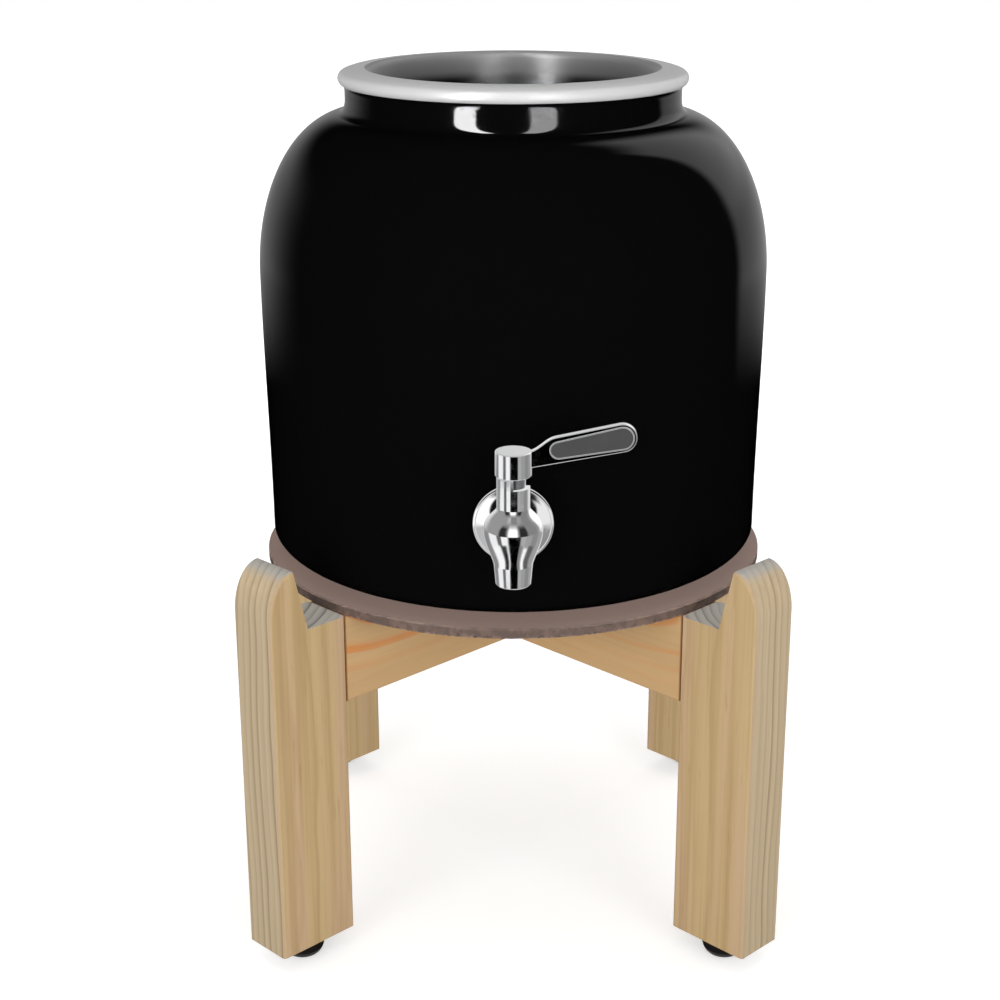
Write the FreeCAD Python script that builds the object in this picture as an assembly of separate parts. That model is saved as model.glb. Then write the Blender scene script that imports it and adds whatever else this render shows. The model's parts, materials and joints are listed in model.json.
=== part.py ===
"""Glazed crock water dispenser with a lever tap, standing on a four-legged wooden stand.

Frame: millimetres, +Z up, origin on the floor under the centre of the stand.
The tap points to -Y and the lever, when shut, points to +X.
"""

import FreeCAD, Part
import os
from math import cos, radians, sin
from FreeCAD import Vector

# ---------------------------------------------------------------- driving dimensions

# stand: legs
leg_depth = 47.5               # radial size of a leg
leg_thickness = 28.9           # size of a leg across the radius
leg_edge_radius = 1.6          # rounding of the long outer and inner edges
shelf_height = 190.0           # floor to the notch floor and the top of the beams
shelf_lap_width = 0.3          # how far the platform reaches over a leg's shelf
notch_depth = 24.0             # radial depth of the notch above the shelf
upright_rise = 32.8            # how far the upright stands above the shelf
upright_nose_width = 15.4      # the upright's rounded top, from its crest to the outer face
upright_nose_height = 24.0     # and from its crest down to where the outer face is straight

# stand: cross beams and dowels
beam_depth = 47.8
beam_thickness = 28.0
beam_edge_radius = 1.5
lap_clearance = 0.1            # slack on each side of the half-lap
dowel_radius = 4.0
dowel_length = 40.0
dowel_spacing = 24.0           # between the two dowels of a joint
dowel_clearance = 0.05
dowel_end_gap = 1.0            # empty hole past each end of a dowel

# stand: glides
glide_height = 11.0
glide_radius = 11.5
glide_sole_radius = 6.5
glide_rim_height = 3.0         # straight upper part of the side
nail_radius = 1.3
nail_head_radius = 3.6
nail_head_height = 1.4
nail_head_base = 4.0           # floor to the underside of the nail head
nail_length = 24.0
nail_clearance = 0.05
nail_end_gap = 1.0             # empty hole past the nail's tip

# platform
platform_margin = 1.7          # how far the platform reaches past the crock
platform_thickness = 5.5
platform_edge = 0.8

# crock
crock_radius = 133.5
crock_base_inset = 2.0         # how far the side draws in down to the base curve
crock_height = 256.0           # underside to the crest of the lip
base_curve_width = 30.0
base_curve_height = 13.0
foot_ring_width = 9.0          # flat ring that the crock stands on
foot_recess_depth = 3.0
belly_height = 153.0           # underside to the widest level
shoulder_inset = 47.4          # half width of the shoulder's ellipse
shoulder_sweep = 84.0          # degrees of the ellipse that are used
neck_radius = 86.8
neck_rise = 22.7               # crown of the shoulder's ellipse to the crest of the lip
neck_blend = 7.0               # height of the curve from shoulder to neck
mouth_blend = 14.0             # height of the curve from inner shoulder to mouth
lip_radius = 90.2
lip_thickness = 7.0            # height of the lip's round outer edge
lip_slope = 1.5                # fall of the lip's top from its crest to that edge
lip_under_angle = -60.0        # where the lip's round edge starts and ends, in degrees
lip_top_angle = 80.0
mouth_radius = 73.5
mouth_round_width = 3.0
mouth_round_height = 4.0
crock_wall = 9.0
crock_floor = 12.0

# tap: placement and the hole in the wall
tap_rise = 55.0                # crock underside to the inlet axis
tap_standoff = 23.0            # crock wall to the tap's upright axis
shank_radius = 8.0
wall_hole_clearance = 1.0
shank_bore_radius = 4.0
shank_end_length = 4.0         # past the nut

# tap: casting, heights measured from the inlet axis
barrel_radius = 9.0
nozzle_drop = 23.3
nozzle_radius = 8.4
nozzle_length = 10.5
nozzle_top_radius = 9.3
nozzle_edge = 0.6
nozzle_flare = 0.9             # hollow curve from the nozzle into the bulge
nozzle_flare_height = 4.0
nozzle_bore_radius = 6.4
nozzle_bore_depth = 8.0
bulge_radius = 14.1
bulge_rise = 4.5
bulge_shoulder = 11.0          # bulge centre to the foot of the neck
bulge_belly_low = 6.6          # reach of the full curve below and above the bulge's centre
bulge_belly_high = 6.0
neck_foot_curve = 2.8          # height of the hollow curve into the neck
tap_neck_radius = 7.9
tap_neck_rise = 30.2

# tap: valve
stem_radius = 5.5
stem_clearance = 0.05
stem_drop = 7.0                # inlet axis down to the stem's end
seat_gap = 0.1
port_radius = 3.6
outlet_radius = 4.0
spigot_radius = 4.2
spigot_length = 9.0
spigot_clearance = 0.03
spigot_end_gap = 0.2
o_ring_section = 0.75          # radius of the ring's cord
o_ring_levels = (8.0, 12.5)
o_ring_slack = 0.15
pin_radius = 1.0
pin_level = 17.6
pin_azimuth = -60.0
pin_depth = 1.05               # how far the pin reaches into the stem's groove
pin_slack = 0.12
pin_head = 0.5

# tap: lever
cap_radius = 8.6
cap_height = 12.0
cap_gap = 0.8
cap_edge = 0.7
lever_travel = 90.0
stop_notch_depth = 4.7
stop_tab_angle = 24.0
stop_slack_angle = 1.0
stop_tab_inner_slack = 0.35
stop_tab_outer_slack = 0.2
stop_floor_gap = 0.5
blade_tilt = 11.0
blade_start = 21.1             # tap axis to the full depth of the blade
blade_level = 43.7             # height of the blade's centre line there
blade_length = 30.0            # from there to the centre of the round end
blade_root_height = 12.6
blade_shoulder_lead = 6.0      # length of the curve that brings the cap's top into the blade
blade_end_radius = 6.8
blade_thickness = 3.6
blade_edge = 0.5
inset_root_radius = 4.0
inset_end_radius = 5.3
inset_depth = 1.0
inset_proud = 0.15             # how far the inset stands out of the blade
inset_clearance = 0.05
screw_radius = 1.5
screw_level = 36.5
screw_sink = 0.3               # below the cap's surface
screw_socket_radius = 0.75
screw_socket_depth = 1.6

# tap: clamping stack on the crock wall
escutcheon_radius = 19.5
escutcheon_depth = 5.5
escutcheon_front_radius = 11.0
escutcheon_edge = 1.0          # radius of the rolled rim
escutcheon_edge_start = -110.0  # where the rim's arc meets the flared face, in degrees
escutcheon_flare = 1.0
escutcheon_flare_depth = 2.6
escutcheon_seat_depth = 2.5
fit_clearance = 0.1
seal_radius = 15.0
seal_thickness = 2.5
washer_radius = 14.0
washer_thickness = 1.5
nut_across_flats = 24.0
nut_thickness = 6.0
nut_corner_radius = 13.2       # the corners are turned off to this radius

# ---------------------------------------------------------------- levels and places

crock_base_radius = crock_radius - crock_base_inset
base_curve_start = crock_base_radius - base_curve_width
shoulder_rise = crock_height - neck_rise - belly_height    # half height of the shoulder's ellipse
platform_radius = crock_radius + platform_margin
leg_inner_reach = platform_radius - shelf_lap_width
leg_outer_reach = leg_inner_reach + leg_depth
shelf_edge_reach = leg_inner_reach + notch_depth
platform_top = shelf_height + platform_thickness
inlet_height = platform_top + tap_rise
LEG_AZIMUTHS = {"front_left": 225.0, "front_right": 315.0, "back_right": 45.0, "back_left": 135.0}
Z_AXIS = Vector(0, 0, 1)
ORIGIN = Vector(0, 0, 0)
OVERCUT = 1.0                  # how far a cutting solid runs past the face it cuts
SAME_PLACE = 1e-6              # points nearer than this are one point


# ---------------------------------------------------------------- helpers

def half_plane_point(radius, height):
    """A point of the half plane that is turned about Z."""
    return Vector(radius, 0, height)


def line(start, end):
    return Part.LineSegment(half_plane_point(*start), half_plane_point(*end)).toShape()


def polyline(*points):
    return [line(a, b) for a, b in zip(points, points[1:])]


def bezier(*poles):
    curve = Part.BezierCurve()
    curve.setPoles([half_plane_point(*pole) for pole in poles])
    return curve.toShape()


def ellipse_point(centre, half_width, half_height, angle):
    return (centre[0] + half_width * cos(radians(angle)), centre[1] + half_height * sin(radians(angle)))


def ellipse_arc(centre, half_width, half_height, start, end, steps=10):
    """Curve along an ellipse, angles in degrees from the outward radius towards +Z."""
    angles = [start + (end - start) * step / steps for step in range(steps + 1)]
    points = [half_plane_point(*ellipse_point(centre, half_width, half_height, a)) for a in angles]
    curve = Part.BSplineCurve()
    curve.interpolate(points)
    return curve.toShape()


def arc(centre, radius, start, end):
    """Circular arc, angles in degrees from the outward radius towards +Z."""
    marks = [ellipse_point(centre, radius, radius, angle) for angle in (start, (start + end) / 2, end)]
    return Part.Arc(*[half_plane_point(*mark) for mark in marks]).toShape()


def turned(edges):
    """Solid made by turning a closed outline about Z."""
    face = Part.Face(Part.Wire(Part.__sortEdges__(edges)))
    return face.revolve(ORIGIN, Z_AXIS, 360)


def cylinder(radius, bottom, top):
    return Part.makeCylinder(radius, top - bottom, Vector(0, 0, bottom))


def tube(outer, inner, bottom, top):
    return cylinder(outer, bottom, top).cut(cylinder(inner, bottom - OVERCUT, top + OVERCUT))


def along_inlet(shape):
    """Turn a shape from the Z axis onto the +Y axis, the way the inlet runs."""
    shape.rotate(ORIGIN, Vector(1, 0, 0), -90)
    return shape


def spun(shape, azimuth):
    shape.rotate(ORIGIN, Z_AXIS, azimuth)
    return shape


def along_radius(shape, azimuth):
    """Turn a shape from the Z axis onto the radius at an azimuth."""
    shape.rotate(ORIGIN, Vector(0, 1, 0), 90)
    return spun(shape, azimuth)


def moved(shape, x=0, y=0, z=0):
    shape.translate(Vector(x, y, z))
    return shape


def on_crock_wall(shape):
    """Place a tap piece, drawn about the tap's own axis and inlet level, on the crock."""
    return moved(shape, y=-tap_axis_reach(), z=inlet_height)


# ---------------------------------------------------------------- crock

def side_radius(height, inward=0, floor=0):
    """Radius of the side at a height: the outer surface, or one inside it by a wall."""
    start = floor + base_curve_height
    share = (height - start) / (belly_height - start)
    return crock_base_radius - inward + crock_base_inset * share * share * (3 - 2 * share)


def tap_axis_reach():
    return side_radius(tap_rise) + tap_standoff


def wall_outline(inward, floor, top_radius, blend):
    """Edges from the floor, round the base, up the side and shoulder to the neck or mouth.

    inward is the distance inside the outer surface. Returns the edges and the last level.
    """
    base = crock_base_radius - inward
    curve_top = floor + base_curve_height
    third = (belly_height - curve_top) / 3
    widest = crock_radius - inward
    centre = (crock_radius - shoulder_inset, belly_height)
    half_width = shoulder_inset - inward
    half_height = shoulder_rise - inward
    sweep = radians(shoulder_sweep)
    last = ellipse_point(centre, half_width, half_height, shoulder_sweep)
    corner = last[1] + (last[0] - top_radius) * half_height * cos(sweep) / (half_width * sin(sweep))
    edges = [
        ellipse_arc((base_curve_start, curve_top), base - base_curve_start, base_curve_height, -90, 0),
        bezier((base, curve_top), (base, curve_top + third), (widest, belly_height - third),
               (widest, belly_height)),
        ellipse_arc(centre, half_width, half_height, 0, shoulder_sweep),
        bezier(last, (top_radius, corner), (top_radius, corner + blend)),
    ]
    return edges, corner + blend


def crock_outer():
    """The crock as if it were solid, with its foot recess and lip."""
    edges, neck_foot = wall_outline(0, 0, neck_radius, neck_blend)
    round_radius = lip_thickness / 2
    round_centre = crock_height - lip_slope - round_radius
    round_middle = (lip_radius - round_radius, round_centre)
    lip_foot = (neck_radius, round_centre - lip_thickness)
    crest = (mouth_radius + mouth_round_width, crock_height)
    edges += [
        line((neck_radius, neck_foot), lip_foot),
        bezier(lip_foot, (neck_radius, round_centre - round_radius),
               ellipse_point(round_middle, round_radius, round_radius, lip_under_angle)),
        arc(round_middle, round_radius, lip_under_angle, lip_top_angle),
        bezier(ellipse_point(round_middle, round_radius, round_radius, lip_top_angle),
               (crest[0] + (lip_radius - crest[0]) / 2, crock_height), crest),
        ellipse_arc((crest[0], crock_height - mouth_round_height), mouth_round_width, mouth_round_height,
                    90, 180),
    ]
    top_inside = (mouth_radius, crock_height - mouth_round_height)
    ring_start = base_curve_start - foot_ring_width
    edges += polyline(top_inside, (0, top_inside[1]), (0, foot_recess_depth),
                      (ring_start - foot_recess_depth, foot_recess_depth), (ring_start, 0),
                      (base_curve_start, 0))
    return turned(edges)


def crock_cavity():
    """The water space, run out past the top of the lip."""
    edges, mouth_foot = wall_outline(crock_wall, crock_floor, mouth_radius, mouth_blend)
    top = crock_height + OVERCUT
    edges += polyline((mouth_radius, mouth_foot), (mouth_radius, top), (0, top), (0, crock_floor),
                      (base_curve_start, crock_floor))
    return turned(edges)


def crock_body():
    hole = cylinder(shank_radius + wall_hole_clearance, -crock_radius - OVERCUT, -crock_radius / 2)
    hole = moved(along_inlet(hole), z=tap_rise)
    return moved(crock_outer().cut(crock_cavity()).cut(hole), z=platform_top)


# ---------------------------------------------------------------- tap: levels along the inlet

def stack_levels():
    """Distances from the tap's upright axis to each face of the clamping stack, along +Y."""
    wall_outside = tap_standoff
    wall_inside = tap_axis_reach() - side_radius(tap_rise, crock_wall, crock_floor)
    levels = {
        "escutcheon_back": wall_outside - seal_thickness,
        "escutcheon_front": wall_outside - seal_thickness - escutcheon_depth,
        "seal_inside": wall_inside + seal_thickness,
        "washer_inside": wall_inside + seal_thickness + washer_thickness,
        "nut_inside": wall_inside + seal_thickness + washer_thickness + nut_thickness,
    }
    levels["barrel_end"] = levels["escutcheon_front"] + escutcheon_seat_depth
    levels["shank_end"] = levels["nut_inside"] + shank_end_length
    return levels


STACK = stack_levels()


# ---------------------------------------------------------------- tap: casting

def tap_casting_outline():
    """Nozzle, onion-shaped bulge and neck."""
    nozzle_top = nozzle_length - nozzle_drop
    shoulder = bulge_rise + bulge_shoulder
    edges = polyline((0, -nozzle_drop), (nozzle_radius - nozzle_edge, -nozzle_drop),
                     (nozzle_radius, nozzle_edge - nozzle_drop), (nozzle_top_radius, nozzle_top))
    edges += [
        bezier((nozzle_top_radius, nozzle_top),
               (nozzle_top_radius + nozzle_flare, nozzle_top + nozzle_flare_height),
               (bulge_radius, bulge_rise - bulge_belly_low), (bulge_radius, bulge_rise)),
        bezier((bulge_radius, bulge_rise), (bulge_radius, bulge_rise + bulge_belly_high),
               (tap_neck_radius, shoulder - neck_foot_curve), (tap_neck_radius, shoulder)),
    ]
    edges += polyline((tap_neck_radius, shoulder), (tap_neck_radius, tap_neck_rise), (0, tap_neck_rise),
                      (0, -nozzle_drop))
    return edges


def sector(outer, bottom, top, start, end):
    """Solid wedge of a cylinder between two azimuths, in degrees."""
    wedge = Part.makeCylinder(outer, top - bottom, Vector(0, 0, bottom), Z_AXIS, end - start)
    return spun(wedge, start)


def stop_notch():
    """The cut in the neck's rim that lets the lever turn through its travel."""
    floor = tap_neck_rise - stop_notch_depth
    end = stop_tab_angle + 2 * stop_slack_angle
    return sector(tap_neck_radius + OVERCUT, floor, tap_neck_rise + OVERCUT, -lever_travel, end)


def tap_waterways():
    """Every hole in the casting, as solids to cut away."""
    bore = cylinder(stem_radius + stem_clearance, -stem_drop - seat_gap, tap_neck_rise + OVERCUT)
    outlet = cylinder(outlet_radius, -nozzle_drop, -stem_drop)
    nozzle = cylinder(nozzle_bore_radius, -nozzle_drop - OVERCUT, nozzle_bore_depth - nozzle_drop)
    inlet = along_inlet(cylinder(shank_bore_radius, 0, STACK["shank_end"] + OVERCUT))
    pin_hole = cylinder(pin_radius, 0, tap_neck_radius + OVERCUT)
    pin_hole = moved(along_radius(pin_hole, pin_azimuth), z=pin_level)
    return [bore, outlet, nozzle, inlet, pin_hole, stop_notch()]


def tap_body():
    body = turned(tap_casting_outline())
    barrel = along_inlet(cylinder(barrel_radius, 0, STACK["barrel_end"]))
    shank = along_inlet(cylinder(shank_radius, 0, STACK["shank_end"]))
    body = body.fuse([barrel, shank]).removeSplitter()
    return on_crock_wall(body.cut(tap_waterways()))


# ---------------------------------------------------------------- tap: valve

def port_solid(reach):
    """L-shaped passage: in at the side facing -X when shut, out at the bottom."""
    down = cylinder(port_radius, -stem_drop - OVERCUT, 0)
    side = along_radius(cylinder(port_radius, 0, reach), 180)
    corner = Part.makeSphere(port_radius)
    return down.fuse([side, corner])


def valve_stem():
    spigot_top = tap_neck_rise + cap_gap + spigot_length
    stem = cylinder(stem_radius, -stem_drop, tap_neck_rise + cap_gap)
    stem = stem.fuse(cylinder(spigot_radius, 0, spigot_top)).removeSplitter()
    floor = stem_radius - 2 * o_ring_section
    half_groove = o_ring_section + o_ring_slack
    outside = stem_radius + OVERCUT
    for level in o_ring_levels:
        stem = stem.cut(tube(outside, floor, level - half_groove, level + half_groove))
    half_slot = pin_radius + pin_slack
    slot_floor = stem_radius - pin_depth - pin_slack
    slot = tube(outside, slot_floor, pin_level - half_slot, pin_level + half_slot)
    return on_crock_wall(stem.cut(slot).cut(port_solid(outside)))


def stem_o_rings():
    major = stem_radius - o_ring_section
    rings = [Part.makeTorus(major, o_ring_section, Vector(0, 0, level)) for level in o_ring_levels]
    return on_crock_wall(Part.makeCompound(rings))


def retaining_pin():
    tip = stem_radius - pin_depth
    shaft = cylinder(pin_radius, tip, tap_neck_radius)
    crown = moved(Part.makeSphere(pin_radius), z=tap_neck_radius - pin_radius + pin_head)
    pin = shaft.fuse(crown).removeSplitter()
    return on_crock_wall(moved(along_radius(pin, pin_azimuth), z=pin_level))


# ---------------------------------------------------------------- tap: lever

def blade_frame():
    """Start point, direction along the blade and direction across it, in the XZ plane."""
    along = Vector(cos(radians(blade_tilt)), 0, sin(radians(blade_tilt)))
    across = Vector(-along.z, 0, along.x)
    return Vector(blade_start, 0, blade_level), along, across


def rounded_bar(root_radius, end_radius, thickness):
    """Tapered bar with two round ends, lying along the blade, centred on Y."""
    start, along, across = blade_frame()
    end = start + along * blade_length
    lean = (end_radius - root_radius) / blade_length
    side = across * (1 - lean * lean) ** 0.5
    top_start = start + (side - along * lean) * root_radius
    top_end = end + (side - along * lean) * end_radius
    low_start = start + (side * -1 - along * lean) * root_radius
    low_end = end + (side * -1 - along * lean) * end_radius
    edges = [
        Part.LineSegment(top_start, top_end).toShape(),
        Part.Arc(top_end, end + along * end_radius, low_end).toShape(),
        Part.LineSegment(low_end, low_start).toShape(),
        Part.Arc(low_start, start - along * root_radius, top_start).toShape(),
    ]
    face = Part.Face(Part.Wire(edges))
    face.translate(Vector(0, -thickness / 2, 0))
    return face.extrude(Vector(0, thickness, 0))


def blade():
    """The lever's flat blade and the web that carries it from the cap."""
    start, along, across = blade_frame()
    end = start + along * blade_length
    cap_top = tap_neck_rise + cap_gap + cap_height
    top_start = start + across * (blade_root_height / 2)
    top_end = end + across * blade_end_radius
    low_start = start - across * (blade_root_height / 2)
    low_end = end - across * blade_end_radius
    low_direction = (low_start - low_end).normalize()
    root = low_start + low_direction * ((blade_start - cap_radius / 2) / cos(radians(blade_tilt)))
    root_top = Vector(cap_radius / 2, 0, cap_top - cap_edge)
    shoulder_pole = Vector(cap_radius + blade_shoulder_lead / 2, 0, root_top.z)
    shoulder = Part.BezierCurve()
    shoulder.setPoles([root_top, shoulder_pole, top_start - along * blade_shoulder_lead, top_start])
    edges = [
        shoulder.toShape(),
        Part.LineSegment(top_start, top_end).toShape(),
        Part.Arc(top_end, end + along * blade_end_radius, low_end).toShape(),
        Part.LineSegment(low_end, root).toShape(),
        Part.LineSegment(root, root_top).toShape(),
    ]
    face = Part.Face(Part.Wire(edges))
    face.translate(Vector(0, -blade_thickness / 2, 0))
    solid = face.extrude(Vector(0, blade_thickness, 0))
    rims = [edge for edge in solid.Edges if is_blade_rim(edge)]
    return solid.makeFillet(blade_edge, rims)


def is_blade_rim(edge):
    """True for an edge round one of the blade's broad faces, outside the cap."""
    ends = [vertex.Point for vertex in edge.Vertexes]
    flat = all(abs(abs(end.y) - blade_thickness / 2) < SAME_PLACE for end in ends)
    return flat and abs(ends[0].y - ends[1].y) < SAME_PLACE and max(end.x for end in ends) > cap_radius


def cap():
    bottom = tap_neck_rise + cap_gap
    top = bottom + cap_height
    edges = polyline((0, bottom), (cap_radius - cap_edge / 2, bottom), (cap_radius, bottom + cap_edge / 2),
                     (cap_radius, top - cap_edge))
    edges.append(arc((cap_radius - cap_edge, top - cap_edge), cap_edge, 0, 90))
    edges += polyline((cap_radius - cap_edge, top), (0, top), (0, bottom))
    return turned(edges)


def stop_tab():
    """The tongue under the cap that runs in the neck's notch."""
    bottom = tap_neck_rise - stop_notch_depth + stop_floor_gap
    top = tap_neck_rise + cap_gap + OVERCUT
    start = stop_slack_angle
    wedge = sector(tap_neck_radius - stop_tab_outer_slack, bottom, top, start, start + stop_tab_angle)
    return wedge.cut(cylinder(stem_radius + stop_tab_inner_slack, bottom - OVERCUT, top + OVERCUT))


def inset_pocket():
    """Recess in the blade's front face that the inset lies in."""
    pocket = rounded_bar(inset_root_radius + inset_clearance, inset_end_radius + inset_clearance,
                         blade_thickness)
    return moved(pocket, y=inset_depth - blade_thickness)


def lever_handle():
    socket_bottom = tap_neck_rise + cap_gap
    handle = cap().fuse([blade(), stop_tab()]).removeSplitter()
    socket_top = socket_bottom + spigot_length + spigot_end_gap
    socket = cylinder(spigot_radius + spigot_clearance, socket_bottom - OVERCUT, socket_top)
    screw_hole = moved(along_radius(cylinder(screw_radius, 0, cap_radius + OVERCUT), 90), z=screw_level)
    clear_below = cylinder(stem_radius + stop_tab_inner_slack, 0, socket_bottom)
    return on_crock_wall(handle.cut([socket, screw_hole, clear_below, inset_pocket()]))


def lever_inset():
    inset = rounded_bar(inset_root_radius, inset_end_radius, inset_depth + inset_proud)
    front = -blade_thickness / 2 - inset_proud
    return on_crock_wall(moved(inset, y=front + (inset_depth + inset_proud) / 2))


def handle_screw():
    """Socket grub screw that grips the stem, at the back of the cap."""
    end = cap_radius - screw_sink
    screw = cylinder(screw_radius, spigot_radius, end)
    socket = Part.Face(Part.makePolygon(hexagon(screw_socket_radius, end - screw_socket_depth)))
    screw = screw.cut(socket.extrude(Vector(0, 0, screw_socket_depth + OVERCUT)))
    return on_crock_wall(moved(along_radius(screw, 90), z=screw_level))


# ---------------------------------------------------------------- tap: clamping stack

def hexagon(corner_radius, level):
    """Closed list of points round a hexagon in a plane across Z."""
    angles = [radians(60 * side) for side in range(7)]
    return [Vector(corner_radius * cos(a), corner_radius * sin(a), level) for a in angles]


def escutcheon():
    back = STACK["escutcheon_back"]
    front = STACK["escutcheon_front"]
    seat = STACK["barrel_end"]
    rim = (escutcheon_radius - escutcheon_edge, back - escutcheon_edge)
    hole = shank_radius + fit_clearance
    bore = barrel_radius + fit_clearance
    edges = polyline((rim[0], back), (hole, back), (hole, seat), (bore, seat), (bore, front),
                     (escutcheon_front_radius, front))
    rim_start = ellipse_point(rim, escutcheon_edge, escutcheon_edge, escutcheon_edge_start)
    flare = (escutcheon_front_radius + escutcheon_flare, back - escutcheon_flare_depth)
    edges.append(bezier((escutcheon_front_radius, front), flare, rim_start))
    edges.append(arc(rim, escutcheon_edge, escutcheon_edge_start, 90))
    return on_crock_wall(along_inlet(turned(edges)))


def outer_seal():
    """Rubber ring, flat against the escutcheon and curved to the crock's outside."""
    ring = tube(seal_radius, shank_radius + fit_clearance, STACK["escutcheon_back"],
                STACK["escutcheon_back"] + 2 * seal_thickness)
    return on_crock_wall(along_inlet(ring)).cut(moved(crock_outer(), z=platform_top))


def inner_seal():
    """Rubber ring, curved to the crock's inside and flat against the washer."""
    ring = tube(seal_radius, shank_radius + fit_clearance, STACK["seal_inside"] - 2 * seal_thickness,
                STACK["seal_inside"])
    return on_crock_wall(along_inlet(ring)).common(moved(crock_cavity(), z=platform_top))


def inner_washer():
    ring = tube(washer_radius, shank_radius + fit_clearance, STACK["seal_inside"], STACK["washer_inside"])
    return on_crock_wall(along_inlet(ring))


def shank_nut():
    corner = nut_across_flats / 2 / cos(radians(30))
    face = Part.Face(Part.makePolygon(hexagon(corner, STACK["washer_inside"])))
    nut = face.extrude(Vector(0, 0, nut_thickness))
    nut = nut.common(cylinder(nut_corner_radius, STACK["washer_inside"], STACK["nut_inside"]))
    bore = cylinder(shank_radius + fit_clearance, 0, STACK["nut_inside"] + OVERCUT)
    return on_crock_wall(along_inlet(nut.cut(bore)))


# ---------------------------------------------------------------- stand

def upright_profile():
    """Side view of a leg: foot, inner face, notched shelf, leaning upright, rounded top."""
    crest = (leg_outer_reach - upright_nose_width, shelf_height + upright_rise)
    nose_centre = (crest[0], crest[1] - upright_nose_height)
    nose_end = (leg_outer_reach, nose_centre[1])
    edges = polyline(nose_end, (leg_outer_reach, glide_height), (leg_inner_reach, glide_height),
                     (leg_inner_reach, shelf_height), (shelf_edge_reach, shelf_height), crest)
    edges.append(ellipse_arc(nose_centre, upright_nose_width, upright_nose_height, 90, 0))
    return Part.Face(Part.Wire(Part.__sortEdges__(edges)))


def is_leg_long_edge(edge):
    """True for the long edges of the outer face, up over its rounded top, and of the inner face."""
    ends = [vertex.Point for vertex in edge.Vertexes]
    along_side = abs(ends[0].y - ends[1].y) < SAME_PLACE
    outer = all(end.x > leg_outer_reach - upright_nose_width - SAME_PLACE for end in ends)
    inner = all(abs(end.x - leg_inner_reach) < SAME_PLACE for end in ends)
    return along_side and (outer or inner)


def dowel_levels():
    middle = shelf_height - beam_depth / 2
    return (middle - dowel_spacing / 2, middle + dowel_spacing / 2)


def dowel(radius, slack):
    """One dowel along +X, half in the leg and half in the beam, at floor level."""
    half = dowel_length / 2 + slack
    return moved(along_radius(cylinder(radius, -half, half), 0), x=leg_inner_reach)


def glide_place(azimuth):
    reach = leg_outer_reach - leg_depth / 2
    return reach * cos(radians(azimuth)), reach * sin(radians(azimuth))


def leg(azimuth):
    solid = upright_profile()
    solid.translate(Vector(0, -leg_thickness / 2, 0))
    solid = solid.extrude(Vector(0, leg_thickness, 0))
    solid = solid.makeFillet(leg_edge_radius, [edge for edge in solid.Edges if is_leg_long_edge(edge)])
    holes = [moved(dowel(dowel_radius + dowel_clearance, dowel_end_gap), z=level) for level in dowel_levels()]
    nail_hole = cylinder(nail_radius + nail_clearance, 0, nail_head_base + nail_length + nail_end_gap)
    holes.append(moved(nail_hole, x=leg_outer_reach - leg_depth / 2))
    return spun(solid.cut(holes), azimuth)


def beam(azimuth, notch_on_top):
    """Cross beam along a diagonal, half-lapped at its middle."""
    bottom = shelf_height - beam_depth
    solid = Part.makeBox(2 * leg_inner_reach, beam_thickness, beam_depth,
                         Vector(-leg_inner_reach, -beam_thickness / 2, bottom))
    long_edges = [edge for edge in solid.Edges if edge.Length > 2 * leg_inner_reach - SAME_PLACE]
    solid = solid.makeFillet(beam_edge_radius, long_edges)
    half_lap = beam_thickness / 2 + lap_clearance
    middle = shelf_height - beam_depth / 2
    lap_bottom = middle if notch_on_top else bottom - OVERCUT
    lap = Part.makeBox(2 * half_lap, beam_thickness + 2 * OVERCUT, beam_depth / 2 + OVERCUT,
                       Vector(-half_lap, -beam_thickness / 2 - OVERCUT, lap_bottom))
    solid = solid.cut(lap)
    for end in (0, 180):
        for level in dowel_levels():
            hole = spun(dowel(dowel_radius + dowel_clearance, dowel_end_gap), end)
            solid = solid.cut(moved(hole, z=level))
    return spun(solid, azimuth)


def beam_dowels():
    pegs = []
    for azimuth in LEG_AZIMUTHS.values():
        for level in dowel_levels():
            pegs.append(moved(spun(dowel(dowel_radius, 0), azimuth), z=level))
    return Part.makeCompound(pegs)


def nail(clearance):
    """Glide nail: a disc head inside the glide and a shaft up into the leg."""
    head_top = nail_head_base + nail_head_height
    head = cylinder(nail_head_radius + clearance, nail_head_base - clearance, head_top + clearance)
    shaft = cylinder(nail_radius + clearance, nail_head_base, nail_head_base + nail_length)
    return head.fuse(shaft).removeSplitter()


def foot_glide(azimuth):
    side_top = glide_height - glide_rim_height
    edges = polyline((0, 0), (glide_sole_radius, 0))
    edges.append(ellipse_arc((glide_sole_radius, side_top), glide_radius - glide_sole_radius, side_top,
                             -90, 0))
    edges += polyline((glide_radius, side_top), (glide_radius, glide_height), (0, glide_height), (0, 0))
    glide = turned(edges).cut(nail(nail_clearance))
    return moved(glide, *glide_place(azimuth))


def glide_nails():
    return Part.makeCompound([moved(nail(0), *glide_place(azimuth)) for azimuth in LEG_AZIMUTHS.values()])


def platform_disc():
    edge = platform_edge
    outline = polyline((0, shelf_height), (platform_radius - edge, shelf_height),
                       (platform_radius, shelf_height + edge), (platform_radius, platform_top - edge),
                       (platform_radius - edge, platform_top), (0, platform_top), (0, shelf_height))
    return turned(outline)


# ---------------------------------------------------------------- assembly

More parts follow.
